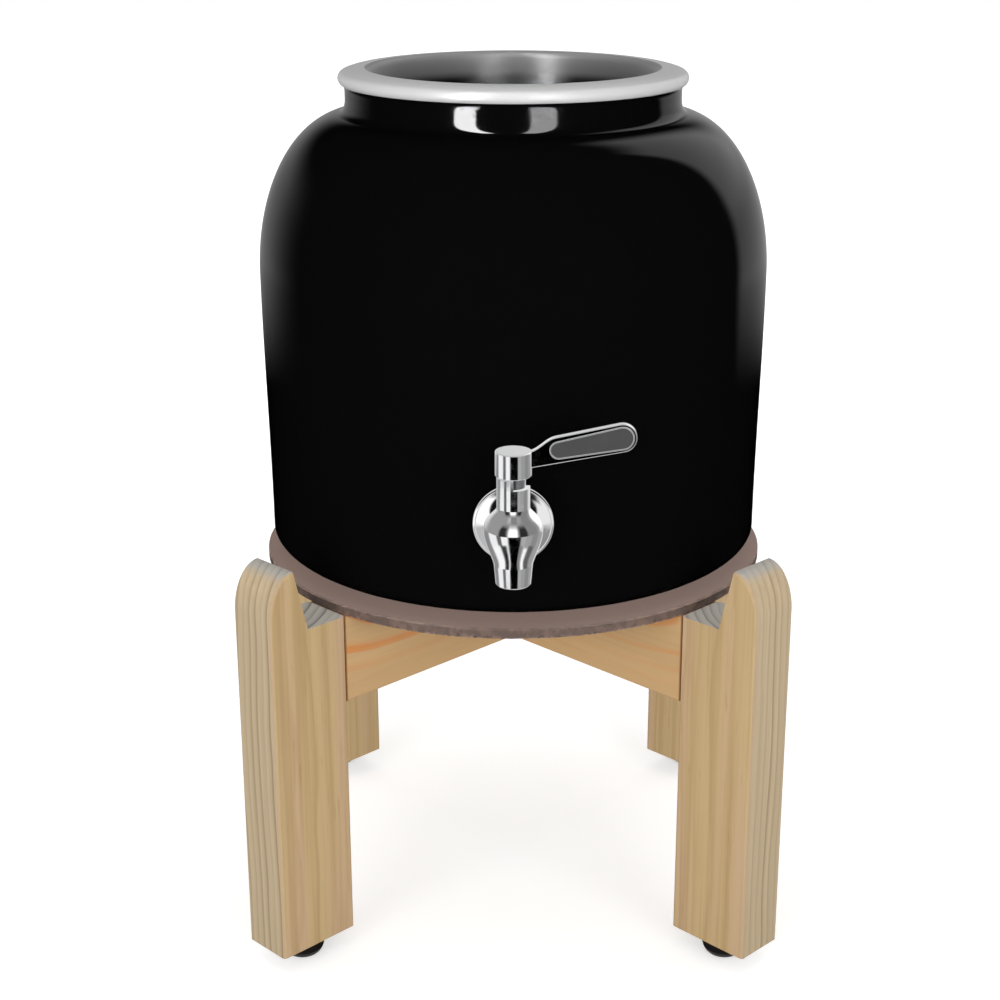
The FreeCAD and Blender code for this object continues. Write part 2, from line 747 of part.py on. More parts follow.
def all_nodes():
    nodes = {
        "crock_body": crock_body(),
        "tap_body": tap_body(),
        "tap_escutcheon": escutcheon(),
        "outer_seal": outer_seal(),
        "inner_seal": inner_seal(),
        "inner_washer": inner_washer(),
        "shank_nut": shank_nut(),
        "valve_stem": valve_stem(),
        "stem_o_rings": stem_o_rings(),
        "retaining_pin": retaining_pin(),
        "lever_handle": lever_handle(),
        "lever_inset": lever_inset(),
        "handle_screw": handle_screw(),
        "platform_disc": platform_disc(),
        "beam_lower": beam(LEG_AZIMUTHS["back_right"], True),
        "beam_upper": beam(LEG_AZIMUTHS["back_left"], False),
        "beam_dowels": beam_dowels(),
        "glide_nails": glide_nails(),
    }
    for place, azimuth in LEG_AZIMUTHS.items():
        nodes["leg_" + place] = leg(azimuth)
        nodes["foot_glide_" + place] = foot_glide(azimuth)
    return nodes


def main():
    os.makedirs("parts", exist_ok=True)
    for name, shape in all_nodes().items():
        shape.exportStep(os.path.join("parts", name + ".step"))


main()
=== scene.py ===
"""Dresses a glazed water crock, its lever tap and its pine stand, and sets the stage.

Laid out as an add-on; run as a script, it works through the loaded frame from start to end.
Lengths are in metres, +Z up, origin on the floor under the centre of the stand.
The tap points to -Y.
"""

import json
from math import atan2, cos, pi, radians, sin, sqrt, tan

import bmesh
import bpy
from bpy.props import FloatProperty, FloatVectorProperty, IntProperty, PointerProperty
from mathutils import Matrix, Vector


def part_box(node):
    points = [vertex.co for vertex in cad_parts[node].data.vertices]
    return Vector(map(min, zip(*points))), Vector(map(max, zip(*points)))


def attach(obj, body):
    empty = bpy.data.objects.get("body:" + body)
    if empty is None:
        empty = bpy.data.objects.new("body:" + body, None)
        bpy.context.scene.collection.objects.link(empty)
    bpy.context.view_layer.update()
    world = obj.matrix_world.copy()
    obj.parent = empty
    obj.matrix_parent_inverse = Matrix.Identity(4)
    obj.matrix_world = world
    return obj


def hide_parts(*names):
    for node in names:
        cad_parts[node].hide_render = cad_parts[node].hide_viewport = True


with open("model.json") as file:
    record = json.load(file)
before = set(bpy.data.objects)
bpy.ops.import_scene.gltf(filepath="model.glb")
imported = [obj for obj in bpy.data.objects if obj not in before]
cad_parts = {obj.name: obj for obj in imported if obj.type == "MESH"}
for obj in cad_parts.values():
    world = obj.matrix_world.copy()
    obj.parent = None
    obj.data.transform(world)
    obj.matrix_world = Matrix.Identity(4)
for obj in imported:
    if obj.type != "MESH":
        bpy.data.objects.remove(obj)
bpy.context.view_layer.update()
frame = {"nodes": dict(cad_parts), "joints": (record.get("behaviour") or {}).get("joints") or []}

bl_info = {
    "name": "Water Crock Workshop",
    "version": (1, 0, 0),
    "blender": (4, 5, 0),
    "location": "View3D > Sidebar > Crock",
    "description": "Glazes a water crock, plates its tap, finishes its pine stand and lights them",
    "category": "Object",
}

NODES = frame["nodes"]

CROCK_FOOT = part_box("crock_body")[0].z
LIP_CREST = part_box("crock_body")[1].z
CROCK_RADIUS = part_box("crock_body")[1].x
BOARD_LOW, BOARD_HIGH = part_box("platform_disc")
LEVER_JOINT = next(joint for joint in frame["joints"] if joint["name"] == "lever_turn")
TAP_AXIS = Vector(LEVER_JOINT["pos_m"])
INLET_LEVEL = (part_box("shank_nut")[0].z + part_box("shank_nut")[1].z) / 2
LEGS = {"front_left": 225.0, "front_right": 315.0, "back_right": 45.0, "back_left": 135.0}
LEG_SPAN = [(vertex.co.x + vertex.co.y) / sqrt(2) for vertex in NODES["leg_back_right"].data.vertices]
LEG_INNER, LEG_REACH = min(LEG_SPAN), max(LEG_SPAN)


# ---------------------------------------------------------------- settings

def colour_setting(name, description, value):
    return FloatVectorProperty(name=name, description=description, default=value, size=3,
                               min=0.0, max=1.0, subtype="COLOR")


def length_setting(name, description, value):
    return FloatProperty(name=name, description=description, default=value, min=0.0, unit="LENGTH",
                         subtype="DISTANCE", precision=5)


def share_setting(name, description, value):
    return FloatProperty(name=name, description=description, default=value, min=0.0, max=1.0,
                         subtype="FACTOR")


def power_setting(name, description, value):
    return FloatProperty(name=name, description=description, default=value, min=0.0, subtype="POWER")


class CrockSettings(bpy.types.PropertyGroup):
    """Sizes and glaze of the crock."""

    base_inset: length_setting("Base inset", "How far the side draws in down to the base curve", 0.002)
    base_width: length_setting("Base curve width", "Width of the curve under the side", 0.030)
    base_rise: length_setting("Base curve height", "Height of the curve under the side", 0.013)
    foot_ring: length_setting("Foot ring", "Width of the flat ring the crock stands on", 0.009)
    foot_recess: length_setting("Foot recess", "Depth of the hollow inside the foot ring", 0.003)
    belly_height: length_setting("Belly height", "Underside to the widest level", 0.153)
    shoulder_width: length_setting("Shoulder width", "Half width of the shoulder's ellipse", 0.0474)
    shoulder_sweep: FloatProperty(name="Shoulder sweep", description="Part of the ellipse that is used",
                                  default=radians(84), subtype="ANGLE")
    neck_radius: length_setting("Neck radius", "Radius of the neck", 0.0868)
    neck_rise: length_setting("Neck rise", "Crown of the shoulder to the crest of the lip", 0.0227)
    neck_blend: length_setting("Neck blend", "Height of the curve from shoulder to neck", 0.007)
    mouth_blend: length_setting("Mouth blend", "Height of the curve from shoulder to mouth inside", 0.014)
    lip_radius: length_setting("Lip radius", "Radius of the lip", 0.0902)
    lip_thickness: length_setting("Lip thickness", "Height of the lip's round edge", 0.007)
    lip_slope: length_setting("Lip slope", "Fall of the lip's top to its edge", 0.0015)
    mouth_radius: length_setting("Mouth radius", "Radius of the opening", 0.0735)
    mouth_round: length_setting("Mouth round", "Rounding of the lip's inner edge", 0.003)
    wall: length_setting("Wall", "Thickness of the side", 0.009)
    floor: length_setting("Floor", "Thickness of the bottom", 0.012)
    hole_radius: length_setting("Tap hole", "Radius of the hole for the tap's shank", 0.009)
    around: IntProperty(name="Segments", description="Facets round the crock",
                        default=192, min=24, max=256)
    black_glaze: colour_setting("Black glaze", "Colour of the outside", (0.0022, 0.0022, 0.0024))
    white_glaze: colour_setting("White glaze", "Colour of the lip", (0.58, 0.58, 0.58))
    # the throat's grey fades to black lower down: partly the glaze, partly painted shade of the deep mouth
    inside_glaze_and_shade: colour_setting("Inside glaze and shade", "Colour of the throat, down to the dark inside",
                                 (0.28, 0.28, 0.28))
    bare_clay: colour_setting("Bare clay", "Colour of the unglazed foot ring", (0.55, 0.49, 0.40))


class TapSettings(bpy.types.PropertyGroup):
    """Finish and fine detail of the tap."""

    chrome: colour_setting("Chrome", "Colour of the plating", (0.79, 0.79, 0.80))
    polish: share_setting("Polish roughness", "Roughness of the plating", 0.10)
    steel: colour_setting("Steel", "Colour of the turned steel", (0.42, 0.43, 0.44))
    rubber: colour_setting("Rubber", "Colour of the seals", (0.05, 0.05, 0.052))
    inset: colour_setting("Inset", "Colour of the lever's inset", (0.058, 0.058, 0.060))
    bead_radius: length_setting("Bead radius", "Half width of the bead round the inset", 0.00038)
    thread_pitch: length_setting("Thread pitch", "Distance from one thread to the next", 0.0014)
    thread_depth: length_setting("Thread depth", "Height of the thread over the shank", 0.00045)


class StandSettings(bpy.types.PropertyGroup):
    """Finish of the wooden stand, its board and its glides."""

    pale_wood: colour_setting("Pale wood", "Early wood on the legs' sides", (0.495, 0.355, 0.182))
    brown_streak: colour_setting("Brown streak", "Late wood on the legs' sides", (0.33, 0.205, 0.085))
    grey_wood: colour_setting("Grey wood", "Tone of the faces sawn across the rings", (0.49, 0.385, 0.25))
    grey_line: colour_setting("Grey line", "Late wood on the faces sawn across the rings",
                              (0.235, 0.165, 0.085))
    # darker tone of the legs' rounded edges: painted shade against the light the edges catch
    edge_painted_shade: colour_setting("Painted edge shade", "Tone of the rounded edges", (0.40, 0.285, 0.18))
    pink_wood: colour_setting("Pink wood", "Pinkish patches on the legs' sides", (0.505, 0.350, 0.212))
    end_wood: colour_setting("End grain", "Tone of the sawn ends", (0.49, 0.46, 0.41))
    beam_wood: colour_setting("Beam wood", "Early wood of the beams", (0.56, 0.36, 0.175))
    beam_line: colour_setting("Beam line", "Late wood of the beams", (0.60, 0.225, 0.06))
    dowel_wood: colour_setting("Dowel wood", "Tone of the dowels", (0.36, 0.22, 0.11))
    ring_spacing: length_setting("Ring spacing", "Distance from one growth ring to the next", 0.0047)
    board_face: colour_setting("Board face", "Colour of the hardboard", (0.104, 0.073, 0.062))
    board_edge: colour_setting("Board edge", "Colour of the sawn edge", (0.185, 0.119, 0.091))
    board_fibre: colour_setting("Board fibre", "Colour of the torn fibres", (0.46, 0.34, 0.30))
    chip_count: IntProperty(name="Chips", description="Loose fibres along the board's lower rim",
                            default=230, min=0, max=600)
    chip_length: length_setting("Chip length", "Length of a loose fibre", 0.0012)
    glide_plastic: colour_setting("Glide plastic", "Colour of the glides", (0.012, 0.011, 0.010))


class StageSettings(bpy.types.PropertyGroup):
    """Floor, lights and camera."""

    camera_distance: length_setting("Camera distance", "Distance in front of the crock's axis", 1.0)
    camera_height: length_setting("Camera height", "Height of the lens over the floor", 0.561133)
    camera_pitch: FloatProperty(name="Camera pitch", description="How far the camera looks down",
                                default=0.3325021, subtype="ANGLE")
    lens_length: FloatProperty(name="Lens", description="Focal length in millimetres", default=68.79,
                               subtype="DISTANCE_CAMERA")
    lens_shift: FloatProperty(name="Lens shift", description="Sideways shift of the frame",
                              default=-0.0133, subtype="FACTOR")
    floor_colour: colour_setting("Floor", "Colour of the floor", (0.88, 0.88, 0.88))
    sky_level: share_setting("Sky level", "Strength of the even light", 0.60)
    left_power: power_setting("Left power", "Power of the left front lamp in watts", 18.0)
    right_power: power_setting("Right power", "Power of the right front lamp in watts", 16.3)
    top_power: power_setting("Top power", "Power of the lamp overhead in watts", 6.0)
    board_power: power_setting("Board power", "Power of the board's own lamp in watts", 34.0)
    shelf_power: power_setting("Shelf power", "Power of the legs' own lamp in watts", 4.5)
    back_power: power_setting("Back leg power", "Power of the back legs' own lamp in watts", 4.0)
    left_glow: share_setting("Left glow", "Brightness of the low cloth behind to the left", 0.33)
    right_glow: share_setting("Right glow", "Brightness of the low cloth behind to the right", 0.42)
    box_glow: share_setting("Panel glow", "Brightness of the panel behind to the right", 0.72)


# ---------------------------------------------------------------- node helpers

def add_node(tree, kind, settings=None, inputs=None):
    """New node with its settings, and its inputs linked or filled in by name or number."""
    node = tree.nodes.new(kind)
    for key, value in (settings or {}).items():
        setattr(node, key, value)
    for key, value in (inputs or {}).items():
        if isinstance(value, bpy.types.NodeSocket):
            tree.links.new(value, node.inputs[key])
        else:
            node.inputs[key].default_value = value
    return node


def maths(tree, operation, *values):
    settings = {"operation": operation}
    return add_node(tree, "ShaderNodeMath", settings, dict(enumerate(values))).outputs[0]


def times(tree, first, second):
    return maths(tree, "MULTIPLY", first, second)


def plus(tree, first, second):
    return maths(tree, "ADD", first, second)


def minus(tree, first, second):
    return maths(tree, "SUBTRACT", first, second)


def along_vector(tree, operation, **inputs):
    """Node of vector maths; its inputs are A, B and Scale."""
    numbers = {"A": 0, "B": 1, "Scale": "Scale"}
    given = {numbers[name]: value for name, value in inputs.items()}
    return add_node(tree, "ShaderNodeVectorMath", {"operation": operation}, given).outputs


def parts_of(tree, vector):
    return add_node(tree, "ShaderNodeSeparateXYZ", None, {0: vector}).outputs


def joined(tree, x, y, z=0.0):
    return add_node(tree, "ShaderNodeCombineXYZ", None, {"X": x, "Y": y, "Z": z}).outputs[0]


def flat_length(tree, x, y):
    return maths(tree, "SQRT", plus(tree, times(tree, x, x), times(tree, y, y)))


def mix_levels(tree, share, first, second):
    inputs = {0: share, 2: first, 3: second}
    return add_node(tree, "ShaderNodeMix", {"data_type": "FLOAT"}, inputs).outputs[0]


def toned(colour, share):
    """The colour with its brightness scaled."""
    return [value * share for value in colour]


def smooth_step(tree, value, start, end, low=0.0, high=1.0):
    inputs = {"Value": value, "From Min": start, "From Max": end, "To Min": low, "To Max": high}
    settings = {"interpolation_type": "SMOOTHSTEP"}
    return add_node(tree, "ShaderNodeMapRange", settings, inputs).outputs["Result"]


def window(tree, value, start, full, fade, end):
    """1 between full and fade, 0 outside start to end."""
    return times(tree, smooth_step(tree, value, start, full),
                 smooth_step(tree, value, fade, end, 1.0, 0.0))


def blend_colours(tree, share, first, second):
    node = add_node(tree, "ShaderNodeMix", {"data_type": "RGBA"})
    for socket, value in ((node.inputs[0], share), (node.inputs[6], first), (node.inputs[7], second)):
        if isinstance(value, bpy.types.NodeSocket):
            tree.links.new(value, socket)
        elif socket == node.inputs[0]:
            socket.default_value = value
        else:
            socket.default_value = (*value, 1.0)
    return node.outputs[2]


def noise(tree, vector, scale, detail=2.0, roughness=0.5):
    inputs = {"Vector": vector, "Scale": scale, "Detail": detail, "Roughness": roughness}
    return add_node(tree, "ShaderNodeTexNoise", None, inputs).outputs[0]


def placed(tree, vector, scale=(1, 1, 1), turn=0.0, shift=(0, 0, 0), kind="POINT"):
    inputs = {"Vector": vector, "Scale": scale, "Rotation": (0, 0, turn)}
    if kind == "POINT":
        inputs["Location"] = shift
    return add_node(tree, "ShaderNodeMapping", {"vector_type": kind}, inputs).outputs[0]


def new_material(name):
    """A material with only its surface shader, and that shader."""
    material = bpy.data.materials.new(name)
    material.use_nodes = True
    tree = material.node_tree
    surface = next(node for node in tree.nodes if node.type == "BSDF_PRINCIPLED")
    return material, tree, surface


def feed(tree, surface, **sockets):
    """Link sockets to the surface shader; names are the shader's own, with _ for a space."""
    for name, value in sockets.items():
        tree.links.new(value, surface.inputs[name.replace("_", " ")])


def raise_surface(tree, surface, height, depth):
    bump = add_node(tree, "ShaderNodeBump", None, {"Height": height, "Distance": depth, "Strength": 1.0})
    tree.links.new(bump.outputs[0], surface.inputs["Normal"])


def own_coordinates(tree, output="Object"):
    return add_node(tree, "ShaderNodeTexCoord").outputs[output]


def dress(node_name, material):
    """Give a frame node one material."""
    slots = NODES[node_name].data.materials
    slots.clear()
    slots.append(material)


# ---------------------------------------------------------------- mesh helpers

def place_in_scene(name, data):
    """New object of a mesh, lamp or camera, at the origin."""
    obj = bpy.data.objects.new(name, data)
    bpy.context.scene.collection.objects.link(obj)
    return obj


def profile_object(name, points, closed=False):
    """Object of one chain of points, each joined to the next."""
    mesh = bpy.data.meshes.new(name)
    count = len(points)
    edges = [(i, i + 1) for i in range(count - 1)]
    if closed:
        edges.append((count - 1, 0))
    mesh.from_pydata(points, edges, [])
    return place_in_scene(name, mesh)


def keep_values(obj, name, values):
    """Keep one value on each point of the mesh."""
    attribute = obj.data.attributes.new(name, "FLOAT", "POINT")
    attribute.data.foreach_set("value", values)


def run_tree(obj, tree, **inputs):
    """Run a geometry tree on an object and keep the result as its plain mesh."""
    modifier = obj.modifiers.new(tree.name, "NODES")
    modifier.node_group = tree
    identifiers = {item.name: item.identifier for item in tree.interface.items_tree
                   if item.item_type == "SOCKET" and item.in_out == "INPUT"}
    for name, value in inputs.items():
        modifier[identifiers[name.replace("_", " ")]] = value
    graph = bpy.context.evaluated_depsgraph_get()
    mesh = bpy.data.meshes.new_from_object(obj.evaluated_get(graph))
    obj.modifiers.clear()
    obj.data = mesh
    mesh.name = obj.name
    mesh.shade_smooth()
    if not mesh.polygons:
        raise RuntimeError(obj.name + " came out empty")
    return obj


def new_tree(name, sockets):
    """Empty geometry tree with named inputs, and its input and output nodes."""
    tree = bpy.data.node_groups.new(name, "GeometryNodeTree")
    tree.interface.new_socket("Geometry", in_out="INPUT", socket_type="NodeSocketGeometry")
    tree.interface.new_socket("Geometry", in_out="OUTPUT", socket_type="NodeSocketGeometry")
    for label, kind, value in sockets:
        socket = tree.interface.new_socket(label, in_out="INPUT", socket_type="NodeSocket" + kind)
        if value is not None:
            socket.default_value = value
    return tree, add_node(tree, "NodeGroupInput").outputs, add_node(tree, "NodeGroupOutput")


def finish_tree(tree, output, geometry, material):
    """End a tree in Realize Instances and Set Material."""
    real = add_node(tree, "GeometryNodeRealizeInstances", None, {"Geometry": geometry})
    done = add_node(tree, "GeometryNodeSetMaterial", None,
                    {"Geometry": real.outputs[0], "Material": material})
    tree.links.new(done.outputs[0], output.inputs[0])


def bezier_points(poles, count):
    """Points along a Bezier curve of any degree, without its first point."""
    points = []
    for step in range(1, count + 1):
        share = step / count
        row = [Vector(pole) for pole in poles]
        while len(row) > 1:
            row = [a.lerp(b, share) for a, b in zip(row, row[1:])]
        points.append(tuple(row[0]))
    return points


def ellipse_points(centre, width, height, start, end, count):
    """Points along an ellipse, angles from the outward radius towards +Z, without the first."""
    angles = [start + (end - start) * step / count for step in range(1, count + 1)]
    return [(centre[0] + width * cos(a), centre[1] + height * sin(a)) for a in angles]


# ---------------------------------------------------------------- crock: turned form

# facets along each curve of the outline, from the foot to the mouth
BASE_STEPS, SIDE_STEPS, SHOULDER_STEPS, NECK_STEPS = 14, 40, 56, 14
LIP_UNDER_STEPS, LIP_EDGE_STEPS, LIP_TOP_STEPS, MOUTH_STEPS = 6, 20, 14, 8
# the lip's round edge, from below the level to nearly upright
LIP_UNDER_ANGLE, LIP_TOP_ANGLE = radians(-60), radians(80)
# glaze values kept on the outline's points, and where along them one glaze runs into the next
BLACK, LIP, INSIDE = 0, 1, 2
BLACK_TO_LIP, LIP_TO_INSIDE = (0.35, 0.65), (1.35, 1.65)
GLAZE_IOR = 1.45
# levels between which the bare foot turns to glaze
BARE_LEVEL, GLAZED_LEVEL = CROCK_FOOT + 0.0002, CROCK_FOOT + 0.0007
# levels up the mouth: dull black, gloss black, then a grey that grows in two slopes up to the lip; the grey
# fading to black lower down is partly the lip glaze thinning out and partly painted shade of the deep mouth
DULL_LEVEL, GLOSS_LEVEL, THROAT_LEVEL = LIP_CREST - 0.034, LIP_CREST - 0.020, LIP_CREST - 0.0155
PALE_LEVEL, GREY_LEVEL = LIP_CREST - 0.011, LIP_CREST - 0.0095
# points closer than this are one point
WELD = 1e-6


def side_outline(s, inward, floor, top_radius, blend):
    """Two chains of (radius, height): from the floor to the shoulder's crown, and on to neck or mouth."""
    base = CROCK_RADIUS - s.base_inset - inward
    curve_start = CROCK_RADIUS - s.base_inset - s.base_width
    curve_top = floor + s.base_rise
    shoulder_rise = LIP_CREST - CROCK_FOOT - s.neck_rise - s.belly_height
    third = (s.belly_height - curve_top) / 3
    centre = (CROCK_RADIUS - s.shoulder_width, s.belly_height)
    width = s.shoulder_width - inward
    height = shoulder_rise - inward
    sweep = s.shoulder_sweep
    last = (centre[0] + width * cos(sweep), centre[1] + height * sin(sweep))
    corner = last[1] + (last[0] - top_radius) * height * cos(sweep) / (width * sin(sweep))
    widest = CROCK_RADIUS - inward
    chain = [(curve_start, floor)]
    chain += ellipse_points((curve_start, curve_top), base - curve_start, s.base_rise, -pi / 2, 0,
                            BASE_STEPS)
    chain += bezier_points([(base, curve_top), (base, curve_top + third),
                            (widest, s.belly_height - third), (widest, s.belly_height)], SIDE_STEPS)
    chain += ellipse_points(centre, width, height, 0, sweep, SHOULDER_STEPS)
    neck = bezier_points([last, (top_radius, corner), (top_radius, corner + blend)], NECK_STEPS)
    return chain, neck


def lip_outline(s):
    """Three chains: the neck under the lip, the white lip up to its crest, and the mouth's round."""
    radius = s.lip_thickness / 2
    height = LIP_CREST - CROCK_FOOT
    centre = (s.lip_radius - radius, height - s.lip_slope - radius)
    foot = (s.neck_radius, centre[1] - s.lip_thickness)
    start, end = LIP_UNDER_ANGLE, LIP_TOP_ANGLE
    crest = (s.mouth_radius + s.mouth_round, height)
    first = (centre[0] + radius * cos(start), centre[1] + radius * sin(start))
    last = (centre[0] + radius * cos(end), centre[1] + radius * sin(end))
    under = [foot] + bezier_points([foot, (s.neck_radius, centre[1] - radius), first], LIP_UNDER_STEPS)
    edge_height = s.mouth_round * 4 / 3
    over = ellipse_points(centre, radius, radius, start, end, LIP_EDGE_STEPS)
    over += bezier_points([last, (crest[0] + (s.lip_radius - crest[0]) / 2, height), crest], LIP_TOP_STEPS)
    mouth = ellipse_points((crest[0], height - edge_height), s.mouth_round, edge_height, pi / 2, pi,
                           MOUTH_STEPS)
    return under, over, mouth


def glazed(points, glaze):
    return [(radius, height, glaze) for radius, height in points]


def crock_outlines(s):
    """Closed outlines of the body and of the rim, each a list of (radius, height, glaze)."""
    outside, neck = side_outline(s, 0, 0, s.neck_radius, s.neck_blend)
    inside, throat = side_outline(s, s.wall, s.floor, s.mouth_radius, s.mouth_blend)
    under, over, mouth = lip_outline(s)
    ring_start = outside[0][0] - s.foot_ring
    foot = [(0, s.foot_recess), (ring_start - s.foot_recess, s.foot_recess), (ring_start, 0)]
    body = glazed(foot + outside, BLACK) + glazed(inside[::-1] + [(0, s.floor)], INSIDE)
    rim = glazed([outside[-1]] + neck + under, BLACK) + glazed(over, LIP)
    rim += glazed(mouth + throat[::-1] + [inside[-1]], INSIDE) + glazed([outside[-1]], BLACK)
    return body, rim


def turned_tree():
    """Turns a chain of points about Z and bores one hole through the -Y side."""
    tree, given, output = new_tree("Turned form", [
        ("Segments", "Int", 96), ("Hole radius", "Float", 0.0), ("Hole level", "Float", 0.0),
        ("Reach", "Float", 0.1), ("Material", "Material", None)])
    chain = given["Geometry"]
    rows = add_node(tree, "GeometryNodeAttributeDomainSize", None, {"Geometry": chain}).outputs[0]
    columns = plus(tree, given["Segments"], 1)
    grid = add_node(tree, "GeometryNodeMeshGrid", None, {"Size X": 1.0, "Size Y": 1.0,
                                                         "Vertices X": columns, "Vertices Y": rows})
    here = add_node(tree, "GeometryNodeInputPosition").outputs[0]
    place = parts_of(tree, here)
    row = maths(tree, "ROUND", times(tree, plus(tree, place[1], 0.5), minus(tree, rows, 1)))
    angle = times(tree, plus(tree, place[0], 0.5), 2 * pi)
    point = add_node(tree, "GeometryNodeSampleIndex", {"data_type": "FLOAT_VECTOR"},
                     {"Geometry": chain, "Value": here, "Index": row})
    mark = add_node(tree, "GeometryNodeInputNamedAttribute", {"data_type": "FLOAT"}, {"Name": "glaze"})
    glaze = add_node(tree, "GeometryNodeSampleIndex", {"data_type": "FLOAT"},
                     {"Geometry": chain, "Value": mark.outputs[0], "Index": row})
    radius, _, height = parts_of(tree, point.outputs[0])
    turned = joined(tree, times(tree, radius, maths(tree, "COSINE", angle)),
                    times(tree, radius, maths(tree, "SINE", angle)), height)
    marked = add_node(tree, "GeometryNodeStoreNamedAttribute", {"data_type": "FLOAT", "domain": "POINT"},
                      {"Geometry": grid.outputs[0], "Name": "glaze", "Value": glaze.outputs[0]})
    shaped = add_node(tree, "GeometryNodeSetPosition", None,
                      {"Geometry": marked.outputs[0], "Position": turned})
    closed = add_node(tree, "GeometryNodeMergeByDistance", None,
                      {"Geometry": shaped.outputs[0], "Distance": WELD})
    drill = add_node(tree, "GeometryNodeMeshCylinder", None, {
        "Vertices": 64, "Radius": given["Hole radius"], "Depth": given["Reach"]})
    seat = joined(tree, 0.0, times(tree, given["Reach"], -1), given["Hole level"])
    drill = add_node(tree, "GeometryNodeTransform", None, {
        "Geometry": drill.outputs[0], "Translation": seat, "Rotation": (pi / 2, 0, 0)})
    bored = add_node(tree, "GeometryNodeMeshBoolean", {"operation": "DIFFERENCE"},
                     {"Mesh 1": closed.outputs[0], "Mesh 2": drill.outputs[0]})
    switch = add_node(tree, "GeometryNodeSwitch", {"input_type": "GEOMETRY"}, {
        "Switch": maths(tree, "GREATER_THAN", given["Hole radius"], WELD),
        "False": closed.outputs[0], "True": bored.outputs[0]})
    finish_tree(tree, output, switch.outputs[0], given["Material"])
    return tree


def glaze_material(s):
    """Gloss glaze: black, white or inside grey by the value kept on the mesh, bare at the foot; the inside
    grey fading down the throat is partly painted shade.
    """
    material, tree, surface = new_material("crock glaze")
    at = own_coordinates(tree)
    mark = add_node(tree, "ShaderNodeAttribute", {"attribute_name": "glaze"}).outputs["Fac"]
    ragged = times(tree, minus(tree, noise(tree, at, 130.0, 3.0), 0.5), 0.25)
    mark = plus(tree, mark, ragged)
    cloud = noise(tree, at, 22.0, 3.0)
    lip = blend_colours(tree, cloud, toned(s.white_glaze, 0.96), s.white_glaze)
    height = parts_of(tree, at)[2]
    # grey of the throat, fading to black lower down: partly the lip glaze thinning out, partly painted shade
    # of the deep mouth
    throat = plus(tree, smooth_step(tree, height, THROAT_LEVEL, GREY_LEVEL, 0.0, 0.66),
                  smooth_step(tree, height, PALE_LEVEL, LIP_CREST, 0.0, 0.33))
    throat = times(tree, throat, smooth_step(tree, cloud, 0.3, 0.7, 0.93, 1.0))
    throat_glaze_and_shade = blend_colours(tree, throat, s.black_glaze, s.inside_glaze_and_shade)
    past_black = smooth_step(tree, mark, *BLACK_TO_LIP)
    past_lip = smooth_step(tree, mark, *LIP_TO_INSIDE)
    colour = blend_colours(tree, past_black, s.black_glaze, lip)
    colour = blend_colours(tree, past_lip, colour, throat_glaze_and_shade)
    bare = smooth_step(tree, height, BARE_LEVEL, GLAZED_LEVEL, 1.0, 0.0)
    clay = blend_colours(tree, noise(tree, at, 900.0, 4.0), toned(s.bare_clay, 0.8), s.bare_clay)
    colour = blend_colours(tree, bare, colour, clay)
    satin = maths(tree, "MAXIMUM", times(tree, bare, 0.7), smooth_step(tree, mark, *BLACK_TO_LIP, 0.0, 0.24))
    gloss = plus(tree, smooth_step(tree, cloud, 0.3, 0.8, 0.055, 0.085), satin)
    below_throat = smooth_step(tree, height, DULL_LEVEL, GLOSS_LEVEL, 1.0, 0.0)
    deep = times(tree, past_lip, below_throat)
    feed(tree, surface, Base_Color=colour, Roughness=gloss,
         Specular_IOR_Level=smooth_step(tree, deep, 0.0, 1.0, 0.5, 0.1))
    surface.inputs["IOR"].default_value = GLAZE_IOR
    raise_surface(tree, surface, noise(tree, at, 60.0, 2.0), depth=0.00002)
    return material


class TurnCrock(bpy.types.Operator):
    """Turn the crock's body and rim, bore the tap hole and glaze both"""

    bl_idname = "crock.turn_crock"
    bl_label = "Turn and glaze the crock"

    def execute(self, context):
        settings = context.scene.crock_settings
        glaze = glaze_material(settings)
        tree = turned_tree()
        body, rim = crock_outlines(settings)
        for name, chain, hole in (("crock_shell", body, settings.hole_radius), ("crock_rim", rim, 0.0)):
            obj = profile_object(name, [(r, 0, CROCK_FOOT + z) for r, z, _ in chain])
            keep_values(obj, "glaze", [mark for _, _, mark in chain])
            run_tree(obj, tree, Segments=settings.around, Hole_radius=hole, Hole_level=INLET_LEVEL,
                     Reach=CROCK_RADIUS, Material=glaze)
            obj.data.set_sharp_from_angle(angle=radians(40))
            obj.visible_glossy = False
            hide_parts("crock_body")
            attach(obj, "crock")
        return {"FINISHED"}


# ---------------------------------------------------------------- tap

def chrome_material(s):
    material, tree, surface = new_material("chrome plate")
    at = own_coordinates(tree)
    smear = noise(tree, at, 90.0, 3.0)
    colour = blend_colours(tree, smear, toned(s.chrome, 0.95), s.chrome)
    rough = smooth_step(tree, noise(tree, at, 260.0, 4.0), 0.35, 0.75, s.polish * 0.7, s.polish * 1.7)
    feed(tree, surface, Base_Color=colour, Roughness=rough)
    surface.inputs["Metallic"].default_value = 1.0
    raise_surface(tree, surface, noise(tree, at, 160.0, 2.0), depth=0.000012)
    return material


def steel_material(s):
    """Turned steel, with fine rings about the upright axis."""
    material, tree, surface = new_material("turned steel")
    at = own_coordinates(tree)
    fine = noise(tree, placed(tree, at, scale=(300, 300, 9000)), 1.0, 3.0)
    colour = blend_colours(tree, fine, toned(s.steel, 0.75), s.steel)
    feed(tree, surface, Base_Color=colour, Roughness=smooth_step(tree, fine, 0.3, 0.7, 0.22, 0.38))
    surface.inputs["Metallic"].default_value = 1.0
    raise_surface(tree, surface, fine, depth=0.00001)
    return material


def rubber_material(s):
    material, tree, surface = new_material("seal rubber")
    at = own_coordinates(tree)
    grain = noise(tree, at, 1500.0, 3.0)
    colour = blend_colours(tree, grain, toned(s.rubber, 0.8), s.rubber)
    feed(tree, surface, Base_Color=colour, Roughness=smooth_step(tree, grain, 0.3, 0.7, 0.55, 0.7))
    raise_surface(tree, surface, grain, depth=0.00003)
    return material


